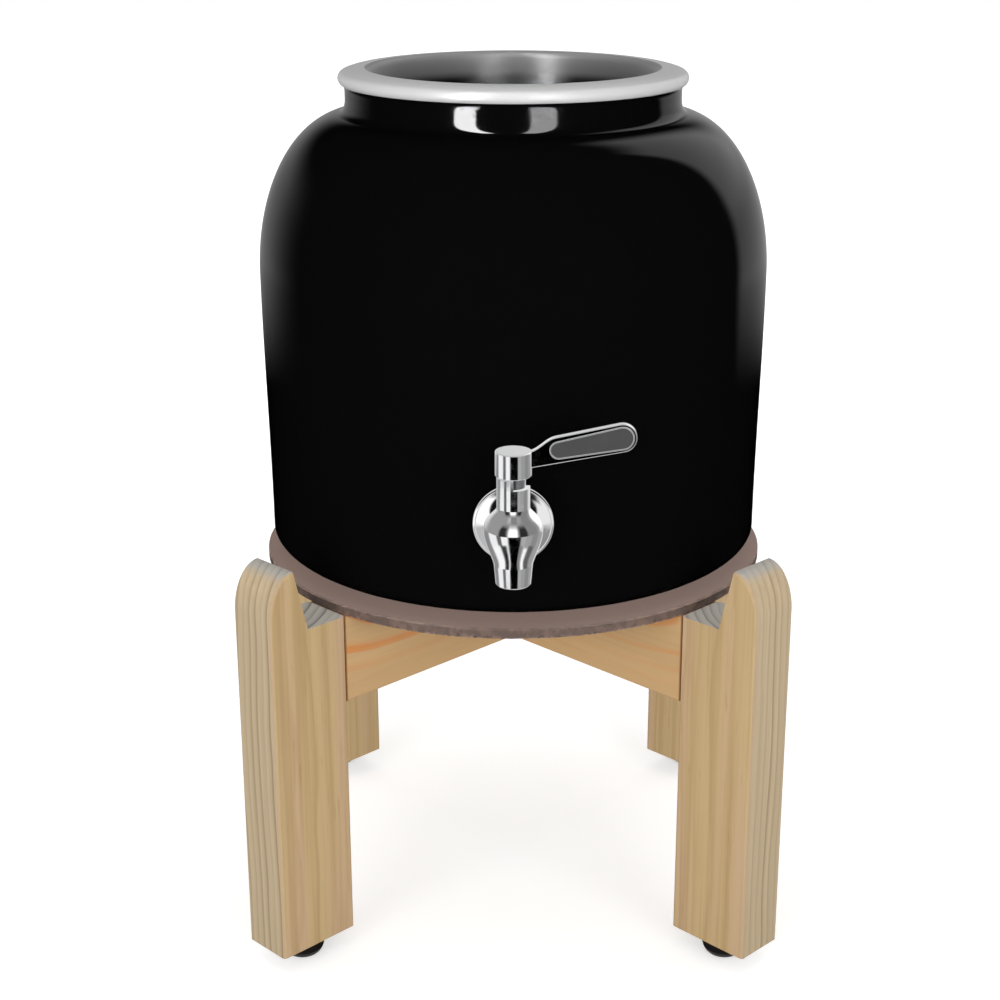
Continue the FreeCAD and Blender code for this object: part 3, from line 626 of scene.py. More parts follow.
def inset_material(s):
    """Satin plastic with a fine moulded grain, and broad lighter clouds that are a painted sheen."""
    material, tree, surface = new_material("inset plastic")
    at = own_coordinates(tree)
    grain = noise(tree, at, 2600.0, 3.0)
    # broad lighter clouds mixed into the grain's random tone: a painted sheen
    cloud = noise(tree, at, 160.0, 2.0)
    colour = blend_colours(tree, times(tree, plus(tree, grain, cloud), 0.5),
                           toned(s.inset, 0.8), toned(s.inset, 1.15))
    feed(tree, surface, Base_Color=colour, Roughness=smooth_step(tree, grain, 0.3, 0.7, 0.42, 0.6))
    raise_surface(tree, surface, grain, depth=0.00002)
    return material


CHROMED = ("tap_body", "tap_escutcheon", "lever_handle", "retaining_pin")
STEEL = ("valve_stem", "handle_screw", "inner_washer", "shank_nut")
RUBBER = ("outer_seal", "inner_seal", "stem_o_rings")
INSIDE_THE_CROCK = ("inner_seal", "inner_washer", "shank_nut")
SHANK_RADIUS = 0.008
SUNK_SHARE = 0.35  # how far a bead or a thread lies under the surface, as a share of its radius


class PlateTap(bpy.types.Operator):
    """Plate the tap's casting, flange and lever, and finish its small parts"""

    bl_idname = "crock.plate_tap"
    bl_label = "Plate the tap"

    def execute(self, context):
        settings = context.scene.tap_settings
        finishes = ((CHROMED, chrome_material(settings)), (STEEL, steel_material(settings)),
                    (RUBBER, rubber_material(settings)), (("lever_inset",), inset_material(settings)))
        for names, material in finishes:
            for name in names:
                dress(name, material)
                NODES[name].visible_glossy = name in INSIDE_THE_CROCK
        return {"FINISHED"}


def bead_tree():
    """Round bead along a closed chain of points."""
    tree, given, output = new_tree("Bead along a path", [
        ("Radius", "Float", 0.001), ("Facets", "Int", 10), ("Material", "Material", None)])
    path = add_node(tree, "GeometryNodeMeshToCurve", None, {"Mesh": given["Geometry"]})
    ring = add_node(tree, "GeometryNodeCurvePrimitiveCircle", {"mode": "RADIUS"},
                    {"Resolution": given["Facets"], "Radius": given["Radius"]})
    bead = add_node(tree, "GeometryNodeCurveToMesh", None,
                    {"Curve": path.outputs[0], "Profile Curve": ring.outputs[0]})
    finish_tree(tree, output, bead.outputs[0], given["Material"])
    return tree


def inset_outline():
    """Closed path round the lever's inset, found from the inset's own mesh, on the blade's face."""
    mesh = NODES["lever_inset"].data
    points = [vertex.co for vertex in mesh.vertices]
    front = min(point.y for point in points)
    face = [point for point in points if point.y < front + 1e-5]
    centre = sum(face, Vector()) / len(face)
    order = sorted({(round(p.x, 6), round(p.z, 6)) for p in face},
                   key=lambda p: atan2(p[1] - centre.z, p[0] - centre.x))
    return [(x, front, z) for x, z in order]


class BeadInset(bpy.types.Operator):
    """Run a plated bead round the lever's inset"""

    bl_idname = "crock.bead_inset"
    bl_label = "Bead the inset"

    def execute(self, context):
        settings = context.scene.tap_settings
        outline = inset_outline()
        sunk = settings.bead_radius * SUNK_SHARE
        path = [(x, y + sunk, z) for x, y, z in outline]
        obj = profile_object("inset_bead", path, closed=True)
        run_tree(obj, bead_tree(), Radius=settings.bead_radius,
                 Material=bpy.data.materials["chrome plate"])
        obj.visible_glossy = False
        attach(obj, "lever")
        return {"FINISHED"}


def thread_tree():
    """Helical ridge along +Y from a start point."""
    tree, given, output = new_tree("Screw thread", [
        ("Radius", "Float", 0.008), ("Pitch", "Float", 0.0015), ("Length", "Float", 0.004),
        ("Ridge", "Float", 0.0005), ("Start", "Vector", None), ("Material", "Material", None)])
    turns = maths(tree, "DIVIDE", given["Length"], given["Pitch"])
    helix = add_node(tree, "GeometryNodeCurveSpiral", None, {
        "Resolution": 64, "Rotations": turns, "Start Radius": given["Radius"],
        "End Radius": given["Radius"], "Height": given["Length"]})
    ridge = add_node(tree, "GeometryNodeCurvePrimitiveCircle", {"mode": "RADIUS"},
                     {"Resolution": 6, "Radius": given["Ridge"]})
    swept = add_node(tree, "GeometryNodeCurveToMesh", None, {
        "Curve": helix.outputs[0], "Profile Curve": ridge.outputs[0], "Fill Caps": True})
    laid = add_node(tree, "GeometryNodeTransform", None, {
        "Geometry": swept.outputs[0], "Rotation": (-pi / 2, 0, 0), "Translation": given["Start"]})
    finish_tree(tree, output, laid.outputs[0], given["Material"])
    return tree


class CutThread(bpy.types.Operator):
    """Cut the thread on the end of the tap's shank, inside the crock"""

    bl_idname = "crock.cut_thread"
    bl_label = "Thread the shank"

    def execute(self, context):
        settings = context.scene.tap_settings
        nut_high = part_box("shank_nut")[1].y
        shank_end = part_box("tap_body")[1].y
        ridge = settings.thread_depth
        start = Vector((0, nut_high + ridge, INLET_LEVEL))
        obj = profile_object("shank_thread", [tuple(start)])
        run_tree(obj, thread_tree(), Radius=SHANK_RADIUS - ridge * SUNK_SHARE,
                 Pitch=settings.thread_pitch, Length=shank_end - nut_high - 2 * ridge, Ridge=ridge,
                 Start=start, Material=bpy.data.materials["chrome plate"])
        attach(obj, "crock")
        return {"FINISHED"}


# ---------------------------------------------------------------- stand: pine

# how much the distance along the trunk counts for a leg's rings and for a beam's
LEG_TAPER, BEAM_TAPER = 0.03, 0.30
BEAM_RING_SPACING = 0.0065
# how far a ring wanders, and how often across and along the trunk
RING_WANDER, TURNS_ACROSS, TURNS_ALONG = 0.007, 26.0, 9.0
# where the legs' outer faces start, and the levels between which the end grain of their tops darkens:
# painted shade that offsets the legs' own lamp
FACE_STARTS, FACE_FULL = LEG_REACH - 0.017, LEG_REACH - 0.010
NOSE_STARTS, NOSE_FULL = BOARD_LOW.z, BOARD_LOW.z + 0.008
# levels between which the beams' orange arcs grow, and the dark line where a beam meets its leg
ARCS_START, ARCS_FULL = BOARD_LOW.z - 0.036, BOARD_LOW.z - 0.014
JOINT_STARTS, JOINT_FULL = LEG_INNER - 0.0011, LEG_INNER - 0.0005
# centres of the growth rings, seen from each piece's own azimuth
LEG_PITHS = {"front_left": (0.200, -0.080, 0.0), "front_right": (0.202, 0.078, 0.0),
             "back_right": (0.195, 0.085, 0.0), "back_left": (0.198, -0.082, 0.0)}
BEAM_PITHS = {"beam_lower": (0.022, BOARD_LOW.z + 0.002, -0.088),
              "beam_upper": (-0.022, BOARD_LOW.z + 0.002, -0.088)}
BEAMS = {"beam_lower": LEGS["back_right"], "beam_upper": LEGS["back_left"]}


def growth_rings(tree, place, pith, pull, spacing, seed):
    """Late-wood share (0 to 1) from the distance to a pith, each ring with a strength of its own.

    Place is (across, across, along); pull is how much the distance along the trunk counts.
    """
    steps = [minus(tree, value, centre) for value, centre in zip(place, pith)]
    steps[2] = times(tree, steps[2], pull)
    reach = along_vector(tree, "LENGTH", A=joined(tree, *steps))["Value"]
    slow = joined(tree, plus(tree, times(tree, place[0], TURNS_ACROSS), seed),
                  times(tree, place[1], TURNS_ACROSS), times(tree, place[2], TURNS_ALONG))
    wander = times(tree, minus(tree, noise(tree, slow, 1.0, 2.0), 0.5), RING_WANDER)
    phase = maths(tree, "DIVIDE", plus(tree, reach, wander), spacing)
    share = maths(tree, "FRACT", phase)
    broad = times(tree, smooth_step(tree, share, 0.15, 0.90), 0.45)
    thin = times(tree, smooth_step(tree, share, 0.58, 0.86), 0.55)
    fall = smooth_step(tree, share, 0.88, 1.0, 1.0, 0.0)
    chance = add_node(tree, "ShaderNodeTexWhiteNoise", {"noise_dimensions": "1D"},
                      {"W": plus(tree, maths(tree, "FLOOR", phase), seed)}).outputs[0]
    strength = smooth_step(tree, chance, 0.0, 1.0, 0.25, 1.0)
    return times(tree, times(tree, plus(tree, broad, thin), fall), strength)


def wood_fibres(tree, at, upright, seed):
    """Two noises stretched along the grain: fine fibres and broad streaks."""
    fine, broad = ((520, 520, 16), (170, 170, 3.0)) if upright else ((16, 520, 520), (5, 60, 60))
    fibre = noise(tree, placed(tree, at, scale=fine, shift=(seed, seed, 0)), 1.0, 4.0, 0.6)
    streak = noise(tree, placed(tree, at, scale=broad, shift=(seed, 0, seed)), 1.0, 3.0, 0.55)
    return fibre, streak


def finish_wood(tree, surface, colour, rings, fibre):
    """Clear coat over the grain, with a slight relief."""
    feed(tree, surface, Base_Color=colour, Roughness=smooth_step(tree, fibre, 0.3, 0.7, 0.46, 0.60))
    surface.inputs["Specular IOR Level"].default_value = 0.35
    raise_surface(tree, surface, plus(tree, times(tree, rings, 0.6), fibre), depth=0.00005)


def turned_frame(tree, azimuth):
    """Place and facing in a frame whose X points along the azimuth, as separate values."""
    turn = -radians(azimuth)
    at = placed(tree, own_coordinates(tree), turn=turn)
    facing = placed(tree, own_coordinates(tree, "Normal"), turn=turn, kind="VECTOR")
    place = parts_of(tree, at)
    normal = parts_of(tree, facing)
    return at, place, [maths(tree, "ABSOLUTE", value) for value in normal]


def leg_material(s, name, azimuth, pith, seed):
    """Pine leg: plain sides with broad streaks, an outer face and ends that cut across the rings; painted
    shade darkens its rounded edges and the end grain of its tops.
    """
    material, tree, surface = new_material(name)
    at, place, facing = turned_frame(tree, azimuth)
    rings = growth_rings(tree, place, pith, LEG_TAPER, s.ring_spacing, seed)
    fibre, streak = wood_fibres(tree, at, True, seed)
    slow = placed(tree, at, scale=(75, 75, 3.0), shift=(seed, 2 * seed, seed))
    patch = smooth_step(tree, noise(tree, slow, 1.0, 2.0), 0.45, 0.65)
    side = blend_colours(tree, patch, s.pale_wood, s.pink_wood)
    side = blend_colours(tree, smooth_step(tree, streak, 0.32, 0.52, 0.40, 0.0), side, s.brown_streak)
    side = blend_colours(tree, times(tree, rings, 0.42), side, s.brown_streak)
    fleck = noise(tree, placed(tree, at, scale=(420, 420, 34), shift=(seed, seed, seed)), 1.0, 2.0)
    side = blend_colours(tree, smooth_step(tree, fleck, 0.64, 0.76, 0.0, 0.5), side, s.brown_streak)
    face = blend_colours(tree, smooth_step(tree, streak, 0.30, 0.72), toned(s.grey_wood, 0.90),
                         s.grey_wood)
    face = blend_colours(tree, times(tree, rings, 0.75), face, s.grey_line)
    end = blend_colours(tree, times(tree, rings, 0.85), s.end_wood, toned(s.end_wood, 0.36))
    # end grain above the board is darkened: painted shade that offsets the light of the legs' own lamp
    nose_painted_shade = smooth_step(tree, place[2], NOSE_STARTS, NOSE_FULL, 0.0, 0.6)
    end = blend_colours(tree, nose_painted_shade, end, toned(s.end_wood, 0.62))
    outward = times(tree, smooth_step(tree, facing[0], 0.45, 0.80),
                    smooth_step(tree, place[0], FACE_STARTS, FACE_FULL))
    colour = blend_colours(tree, outward, side, face)
    # rounded edges facing the lamps are darkened: painted shade against the light they catch
    wear_and_shade = times(tree, window(tree, facing[1], 0.10, 0.35, 0.80, 0.96), 0.8)
    colour = blend_colours(tree, wear_and_shade, colour, s.edge_painted_shade)
    colour = blend_colours(tree, smooth_step(tree, fibre, 0.45, 0.75, 0.0, 0.20), colour, s.brown_streak)
    colour = blend_colours(tree, smooth_step(tree, facing[2], 0.60, 0.92), colour, end)
    finish_wood(tree, surface, colour, rings, fibre)
    return material


def beam_material(s, name, azimuth, pith, seed):
    """Pine beam: plain, with a few arcs of orange late wood near its top edge."""
    material, tree, surface = new_material(name)
    at, place, facing = turned_frame(tree, azimuth)
    rings = growth_rings(tree, (place[1], place[2], place[0]), pith, BEAM_TAPER, BEAM_RING_SPACING, seed)
    fibre, streak = wood_fibres(tree, at, False, seed)
    tone = blend_colours(tree, smooth_step(tree, streak, 0.30, 0.72), toned(s.beam_wood, 0.92),
                         s.beam_wood)
    near_top = smooth_step(tree, place[2], ARCS_START, ARCS_FULL, 0.08, 1.0)
    arcs = smooth_step(tree, rings, 0.05, 0.40)
    colour = blend_colours(tree, times(tree, arcs, near_top), tone, s.beam_line)
    colour = blend_colours(tree, smooth_step(tree, fibre, 0.45, 0.75, 0.0, 0.14), colour, s.brown_streak)
    end = blend_colours(tree, rings, s.end_wood, toned(s.end_wood, 0.5))
    colour = blend_colours(tree, smooth_step(tree, facing[0], 0.85, 0.95), colour, end)
    reach = maths(tree, "ABSOLUTE", place[0])
    joint = smooth_step(tree, reach, JOINT_STARTS, JOINT_FULL, 0.0, 0.9)
    colour = blend_colours(tree, joint, colour, toned(s.beam_line, 0.45))
    finish_wood(tree, surface, colour, rings, fibre)
    return material


class FinishLegs(bpy.types.Operator):
    """Finish the four legs in clear-coated pine, each cut from its own place in the board"""

    bl_idname = "crock.finish_legs"
    bl_label = "Finish the legs"

    def execute(self, context):
        settings = context.scene.stand_settings
        for order, (place, azimuth) in enumerate(LEGS.items()):
            name = "pine leg " + place.replace("_", " ")
            seed = 7.3 * order + 1.7
            dress("leg_" + place, leg_material(settings, name, azimuth, LEG_PITHS[place], seed))
            NODES["leg_" + place].visible_glossy = False
        return {"FINISHED"}


class FinishBeams(bpy.types.Operator):
    """Finish the two cross beams and the dowels"""

    bl_idname = "crock.finish_beams"
    bl_label = "Finish the beams"

    def execute(self, context):
        settings = context.scene.stand_settings
        for order, (beam, azimuth) in enumerate(BEAMS.items()):
            name = "pine " + beam.replace("_", " ")
            seed = 11.1 * order + 3.4
            dress(beam, beam_material(settings, name, azimuth, BEAM_PITHS[beam], seed))
            NODES[beam].visible_glossy = False
        material, tree, surface = new_material("beech dowel")
        fibre, streak = wood_fibres(tree, own_coordinates(tree), False, 5.5)
        colour = blend_colours(tree, streak, toned(settings.dowel_wood, 0.8), settings.dowel_wood)
        finish_wood(tree, surface, colour, streak, fibre)
        dress("beam_dowels", material)
        return {"FINISHED"}


# ---------------------------------------------------------------- stand: board and glides

# radii between which the board's face turns to its sawn edge
EDGE_STARTS, EDGE_FULL = BOARD_HIGH.x - 0.0012, BOARD_HIGH.x - 0.0005
# levels over the board's underside: where the edge is palest, and how far its torn fibres reach
PALEST_LEVEL, PLAIN_LEVEL = BOARD_LOW.z + 0.0005, BOARD_LOW.z + 0.0024
TORN_LEVEL, WHOLE_LEVEL = BOARD_LOW.z + 0.0003, BOARD_LOW.z + 0.0011
# how far a loose fibre strays to each side and upwards, and its proportions
STRAY, STRAY_RISE = 0.003, 0.0012
FIBRE_SHAPE = (1.0, 0.22, 0.20)
FIBRE_INSET = 0.0004
CHIP_SEED = 4
# levels between which the glides are scuffed by the floor and plain
SCUFFED_LEVEL, UNSCUFFED_LEVEL = 0.0002, 0.0016


def hardboard_material(s):
    """Brown hardboard, smooth on its faces and fibrous and paler at its sawn edge."""
    material, tree, surface = new_material("hardboard")
    at = own_coordinates(tree)
    x, y, z = parts_of(tree, at)
    speck = noise(tree, at, 1400.0, 4.0, 0.65)
    cloud = noise(tree, at, 26.0, 3.0)
    mottle = times(tree, plus(tree, speck, cloud), 0.5)
    face = blend_colours(tree, mottle, toned(s.board_face, 0.82), toned(s.board_face, 1.14))
    layered = noise(tree, placed(tree, at, scale=(90, 90, 1500)), 1.0, 4.0, 0.6)
    edge = blend_colours(tree, layered, toned(s.board_edge, 0.72), toned(s.board_edge, 1.2))
    rim = smooth_step(tree, flat_length(tree, x, y), EDGE_STARTS, EDGE_FULL)
    low = smooth_step(tree, z, PALEST_LEVEL, PLAIN_LEVEL, 1.0, 0.6)
    torn = smooth_step(tree, noise(tree, at, 240.0, 4.0, 0.6), 0.42, 0.62)
    sawn = times(tree, rim, times(tree, low, torn))
    colour = blend_colours(tree, sawn, face, edge)
    brink = smooth_step(tree, z, TORN_LEVEL, WHOLE_LEVEL, 1.0, 0.0)
    frayed = smooth_step(tree, noise(tree, at, 620.0, 3.0, 0.6), 0.44, 0.60)
    frayed = times(tree, times(tree, rim, brink), frayed)
    colour = blend_colours(tree, frayed, colour, s.board_fibre)
    pits = smooth_step(tree, noise(tree, at, 410.0, 2.0), 0.64, 0.70)
    pits = times(tree, times(tree, rim, low), pits)
    colour = blend_colours(tree, pits, colour, toned(s.board_edge, 0.25))
    feed(tree, surface, Base_Color=colour, Roughness=smooth_step(tree, cloud, 0.3, 0.7, 0.5, 0.68))
    raise_surface(tree, surface, plus(tree, speck, times(tree, sawn, 1.5)), depth=0.00007)
    return material


def fibre_material(s):
    """Torn fibres, pale with a few brown ones."""
    material, tree, surface = new_material("torn fibre")
    at = own_coordinates(tree)
    tone = smooth_step(tree, noise(tree, at, 300.0, 2.0), 0.40, 0.60)
    feed(tree, surface, Base_Color=blend_colours(tree, tone, toned(s.board_edge, 0.6), s.board_fibre))
    surface.inputs["Roughness"].default_value = 0.8
    raise_surface(tree, surface, noise(tree, at, 2000.0, 2.0), depth=0.00003)
    return material


def chips_tree():
    """Small torn fibres scattered along a circle, each with its own size and lean."""
    tree, given, output = new_tree("Torn rim", [
        ("Radius", "Float", 0.135), ("Level", "Float", 0.19), ("Count", "Int", 200),
        ("Fibre", "Float", 0.001), ("Seed", "Int", CHIP_SEED), ("Material", "Material", None)])
    circle = add_node(tree, "GeometryNodeCurvePrimitiveCircle", {"mode": "RADIUS"},
                      {"Resolution": 256, "Radius": given["Radius"]})
    spots = add_node(tree, "GeometryNodeCurveToPoints", {"mode": "COUNT"},
                     {"Curve": circle.outputs[0], "Count": given["Count"]})
    stray = add_node(tree, "FunctionNodeRandomValue", {"data_type": "FLOAT_VECTOR"}, {
        "Min": (-STRAY, -STRAY, 0.0), "Max": (STRAY, STRAY, STRAY_RISE), "Seed": given["Seed"]})
    moved = add_node(tree, "GeometryNodeSetPosition", None,
                     {"Geometry": spots.outputs[0], "Offset": stray.outputs[0]})
    here = add_node(tree, "GeometryNodeInputPosition").outputs[0]
    x, y, z = parts_of(tree, here)
    outward = along_vector(tree, "NORMALIZE", A=joined(tree, x, y))[0]
    rim = along_vector(tree, "SCALE", A=outward, Scale=given["Radius"])[0]
    height = joined(tree, 0.0, 0.0, plus(tree, z, given["Level"]))
    on_rim = along_vector(tree, "ADD", A=rim, B=height)[0]
    seated = add_node(tree, "GeometryNodeSetPosition", None,
                      {"Geometry": moved.outputs[0], "Position": on_rim})
    fibre = add_node(tree, "GeometryNodeMeshIcoSphere", None,
                     {"Radius": given["Fibre"], "Subdivisions": 1})
    slim = add_node(tree, "GeometryNodeTransform", None,
                    {"Geometry": fibre.outputs[0], "Scale": FIBRE_SHAPE})
    around = add_node(tree, "FunctionNodeAxesToRotation", {"primary_axis": "Y", "secondary_axis": "Z"},
                      {0: outward, 1: (0.0, 0.0, 1.0)})
    size = add_node(tree, "FunctionNodeRandomValue", {"data_type": "FLOAT"}, {
        "Min": 0.25, "Max": 1.0, "Seed": plus(tree, given["Seed"], 1)})
    seeded = add_node(tree, "GeometryNodeInstanceOnPoints", None, {
        "Points": seated.outputs[0], "Instance": slim.outputs[0], "Rotation": around.outputs[0],
        "Scale": size.outputs[1]})
    finish_tree(tree, output, seeded.outputs[0], given["Material"])
    return tree


class FinishBoard(bpy.types.Operator):
    """Finish the round board and tear a few fibres along its lower rim"""

    bl_idname = "crock.finish_board"
    bl_label = "Finish the board"

    def execute(self, context):
        settings = context.scene.stand_settings
        hardboard = hardboard_material(settings)
        dress("platform_disc", hardboard)
        NODES["platform_disc"].visible_glossy = False
        obj = profile_object("board_fibres", [(BOARD_HIGH.x, 0, BOARD_LOW.z)])
        run_tree(obj, chips_tree(), Radius=BOARD_HIGH.x - FIBRE_INSET, Level=TORN_LEVEL,
                 Count=settings.chip_count, Fibre=settings.chip_length, Material=fibre_material(settings))
        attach(obj, "platform")
        return {"FINISHED"}


def glide_material(s):
    material, tree, surface = new_material("glide plastic")
    at = own_coordinates(tree)
    grain = noise(tree, at, 1800.0, 3.0)
    height = parts_of(tree, at)[2]
    wear_and_shade = smooth_step(tree, height, SCUFFED_LEVEL, UNSCUFFED_LEVEL, 0.8, 0.0)
    colour = blend_colours(tree, times(tree, wear_and_shade, grain), s.glide_plastic, toned(s.glide_plastic, 5))
    feed(tree, surface, Base_Color=colour, Roughness=smooth_step(tree, grain, 0.3, 0.7, 0.3, 0.45))
    surface.inputs["Specular IOR Level"].default_value = 0.12
    raise_surface(tree, surface, grain, depth=0.00003)
    return material


class FinishGlides(bpy.types.Operator):
    """Finish the four glides and their nails"""

    bl_idname = "crock.finish_glides"
    bl_label = "Finish the glides"

    def execute(self, context):
        plastic = glide_material(context.scene.stand_settings)
        for place in LEGS:
            dress("foot_glide_" + place, plastic)
        dress("glide_nails", bpy.data.materials["turned steel"])
        return {"FINISHED"}


# ---------------------------------------------------------------- stage

WHITE = (1.0, 1.0, 1.0, 1.0)
FLOOR_HALF = 6.0
SENSOR_WIDTH = 36  # millimetres
# the big tent: its flat floor with a pinhole in the middle, the round of its foot, and its dome
FLAT_LEVEL, FLAT_RADIUS, PINHOLE = 0.004, 1.6, 0.001
FOOT_ROUND, FOOT_STEPS = 0.5, 6
DOME_LEVEL, DOME_RADIUS, DOME_RISE, DOME_STEPS = 1.2, 2.1, 1.0, 14
TENT_SIDES = 72
# the small tents round the tap, flat where they would reach the crock's wall
BALL_RADIUS, BALL_SEGMENTS, BALL_RINGS = 0.18, 64, 32
BALL_SPACING = 0.004
MOST_CORNERS = BALL_SEGMENTS * BALL_RINGS
WALL_GAP = 0.0015
# the upright strips that the crock's rim mirrors
STRIP_DISTANCE = 0.6
STRIP_FOOT, STRIP_TOP = 0.01, LIP_CREST + 1.5


def white_to_lens(tree):
    """1 for camera, glossy and transmission rays, 0 for the rays that light the object."""
    path = add_node(tree, "ShaderNodeLightPath").outputs
    shown = maths(tree, "MAXIMUM", path["Is Camera Ray"], path["Is Glossy Ray"])
    return maths(tree, "MAXIMUM", shown, path["Is Transmission Ray"])


def lay_floor(s):
    half = FLOOR_HALF
    mesh = bpy.data.meshes.new("floor")
    corners = [(-half, -half, 0), (half, -half, 0), (half, half, 0), (-half, half, 0)]
    mesh.from_pydata(corners, [], [(0, 1, 2, 3)])
    floor = place_in_scene("floor", mesh)
    material, tree, surface = new_material("floor paper")
    at = own_coordinates(tree)
    paper = blend_colours(tree, noise(tree, at, 40.0, 3.0), toned(s.floor_colour, 0.99), s.floor_colour)
    feed(tree, surface, Base_Color=paper)
    surface.inputs["Roughness"].default_value = 0.9
    surface.inputs["Specular IOR Level"].default_value = 0.0
    surface.inputs["Emission Color"].default_value = WHITE
    away = along_vector(tree, "LENGTH", A=at)["Value"]
    glow = times(tree, white_to_lens(tree), smooth_step(tree, away, 0.3, 1.2, 0.46, 0.78))
    tree.links.new(glow, surface.inputs["Emission Strength"])
    mesh.materials.append(material)


def set_world(s):
    world = bpy.data.worlds.new("even light")
    bpy.context.scene.world = world
    world.use_nodes = True
    tree = world.node_tree
    background = next(node for node in tree.nodes if node.type == "BACKGROUND")
    background.inputs["Color"].default_value = WHITE
    strength = smooth_step(tree, white_to_lens(tree), 0.0, 1.0, s.sky_level, 1.0)
    tree.links.new(strength, background.inputs["Strength"])


def bare_material(name):
    """A material with no nodes, and its tree."""
    material = bpy.data.materials.new(name)
    material.use_nodes = True
    material.node_tree.nodes.clear()
    return material, material.node_tree


def seen_angles(tree, middle):
    """Azimuth from -Y, + to the right, and height over the level, in degrees as seen from a point."""
    at = placed(tree, own_coordinates(tree), shift=[-value for value in middle])
    x, y, z = parts_of(tree, at)
    azimuth = maths(tree, "ARCTAN2", x, times(tree, y, -1))
    height = maths(tree, "ARCTAN2", z, flat_length(tree, x, y))
    return maths(tree, "DEGREES", azimuth), maths(tree, "DEGREES", height)


def tent_cloth(s):
    """Cloth of the tent: black, a low grey band behind, and a bright panel high up behind to the right.

    Angles are in degrees seen from the middle of the crock.
    """
    material, tree = bare_material("tent cloth")
    azimuth, height = seen_angles(tree, (0, 0, (CROCK_FOOT + LIP_CREST) / 2))
    to_left = maths(tree, "LESS_THAN", azimuth, 0.0)
    turned_left = times(tree, azimuth, -1)
    left = times(tree, smooth_step(tree, turned_left, 104, 140), s.left_glow)
    right = times(tree, smooth_step(tree, azimuth, 112, 120), s.right_glow)
    side = mix_levels(tree, to_left, right, left)
    band = times(tree, side, window(tree, height, -17.2, -8, 8, 24))
    box = times(tree, window(tree, azimuth, 111, 118, 148, 164), window(tree, height, 2, 26, 50, 64))
    level = plus(tree, band, times(tree, box, s.box_glow))
    glow = add_node(tree, "ShaderNodeEmission", None, {"Strength": level})
    add_node(tree, "ShaderNodeOutputMaterial", None, {0: glow.outputs[0]})
    return material


def show_to_mirrors(obj):
    """Hide an object from everything but reflections."""
    for ray in ("camera", "diffuse", "transmission", "volume_scatter", "shadow"):
        setattr(obj, "visible_" + ray, False)


def pitch_tent(s):
    """A tent of cloth round the object that only reflections see, as flags round a gloss product."""
    chain = [(PINHOLE, FLAT_LEVEL), (FLAT_RADIUS, FLAT_LEVEL)]
    chain += ellipse_points((FLAT_RADIUS, FLAT_LEVEL + FOOT_ROUND), FOOT_ROUND, FOOT_ROUND, -pi / 2, 0,
                            FOOT_STEPS)
    chain += ellipse_points((0.0, DOME_LEVEL), DOME_RADIUS, DOME_RISE, 0, pi / 2, DOME_STEPS)
    mesh = bpy.data.meshes.new("tent")
    rows = len(chain)
    points, faces = [], []
    for side in range(TENT_SIDES):
        turn = 2 * pi * side / TENT_SIDES
        points += [(radius * cos(turn), radius * sin(turn), level) for radius, level in chain]
        here, after = side * rows, (side + 1) % TENT_SIDES * rows
        faces += [(here + i, after + i, after + i + 1, here + i + 1) for i in range(rows - 1)]
    mesh.from_pydata(points, [], faces)
    tent = place_in_scene("tent", mesh)
    mesh.materials.append(tent_cloth(s))
    show_to_mirrors(tent)


def hang_lamp(name, place, rotation, size, power):
    """Rectangular soft lamp that the lens doesn't see."""
    data = bpy.data.lights.new(name, "AREA")
    data.shape = "RECTANGLE"
    data.size, data.size_y = size
    data.energy = power
    lamp = place_in_scene(name, data)
    lamp.location = place
    lamp.rotation_euler = rotation
    lamp.visible_camera = False
    return lamp


def light_object(s):
    """Three large soft lamps that give the plain level; gloss pieces don't mirror them."""
    middle = Vector((0, 0, 0.25))
    lamps = (("left soft lamp", (-1.1, -1.7, 0.55), 1.1, s.left_power),
             ("right soft lamp", (1.1, -1.7, 0.55), 1.1, s.right_power),
             ("top soft lamp", (0, 0.2, 2.0), 1.6, s.top_power))
    for name, place, width, power in lamps:
        rotation = (middle - Vector(place)).to_track_quat("-Z", "Y").to_euler()
        hang_lamp(name, place, rotation, (width, width), power).visible_glossy = False


def collect(name, pieces):
    group = bpy.data.collections.new(name)
    for piece in pieces:
        group.objects.link(piece)
    return group


def light_stand(s):
    """Lamps of the stand alone: over the board, over the legs' shelves, and before the back legs.

    Each lights only its own pieces, and only they shade it.
    """
    board = [NODES["platform_disc"], bpy.data.objects["board_fibres"]]
    legs = [NODES["leg_" + place] for place in LEGS]
    lamps = (("board lamp", (0, -0.1, 1.4), (0, 0, 0), s.board_power, board),
             ("shelf lamp", (0, -0.1, 1.4), (0, 0, 0), s.shelf_power, legs),
             ("back leg lamp", (0, -1.3, 0.3), (pi / 2, 0, 0), s.back_power, legs[2:]))
    for name, place, rotation, power, pieces in lamps:
        lamp = hang_lamp(name, place, rotation, (1.0, 1.0), power)
        lamp.visible_glossy = False
        lamp.light_linking.receiver_collection = collect(name + " receivers", pieces)
        lamp.light_linking.blocker_collection = collect(name + " blockers", pieces)


def hang_strip(name, span, level, receivers):
    """Upright strip of even brightness that only some pieces mirror; it lights nothing.

    Span is its two azimuths in degrees seen from the crock's axis, 0 towards -Y and + to the right.
    """
    middle = radians(sum(span) / 2)
    width = 2 * STRIP_DISTANCE * tan(radians(span[1] - span[0]) / 2)
    height = STRIP_TOP - STRIP_FOOT
    place = (STRIP_DISTANCE * sin(middle), -STRIP_DISTANCE * cos(middle), (STRIP_FOOT + STRIP_TOP) / 2)
    lamp = hang_lamp(name, place, (pi / 2, 0, middle), (width, height), level * pi * width * height)
    lamp.visible_diffuse = False
    lamp.light_linking.receiver_collection = collect(name + " receivers", receivers)


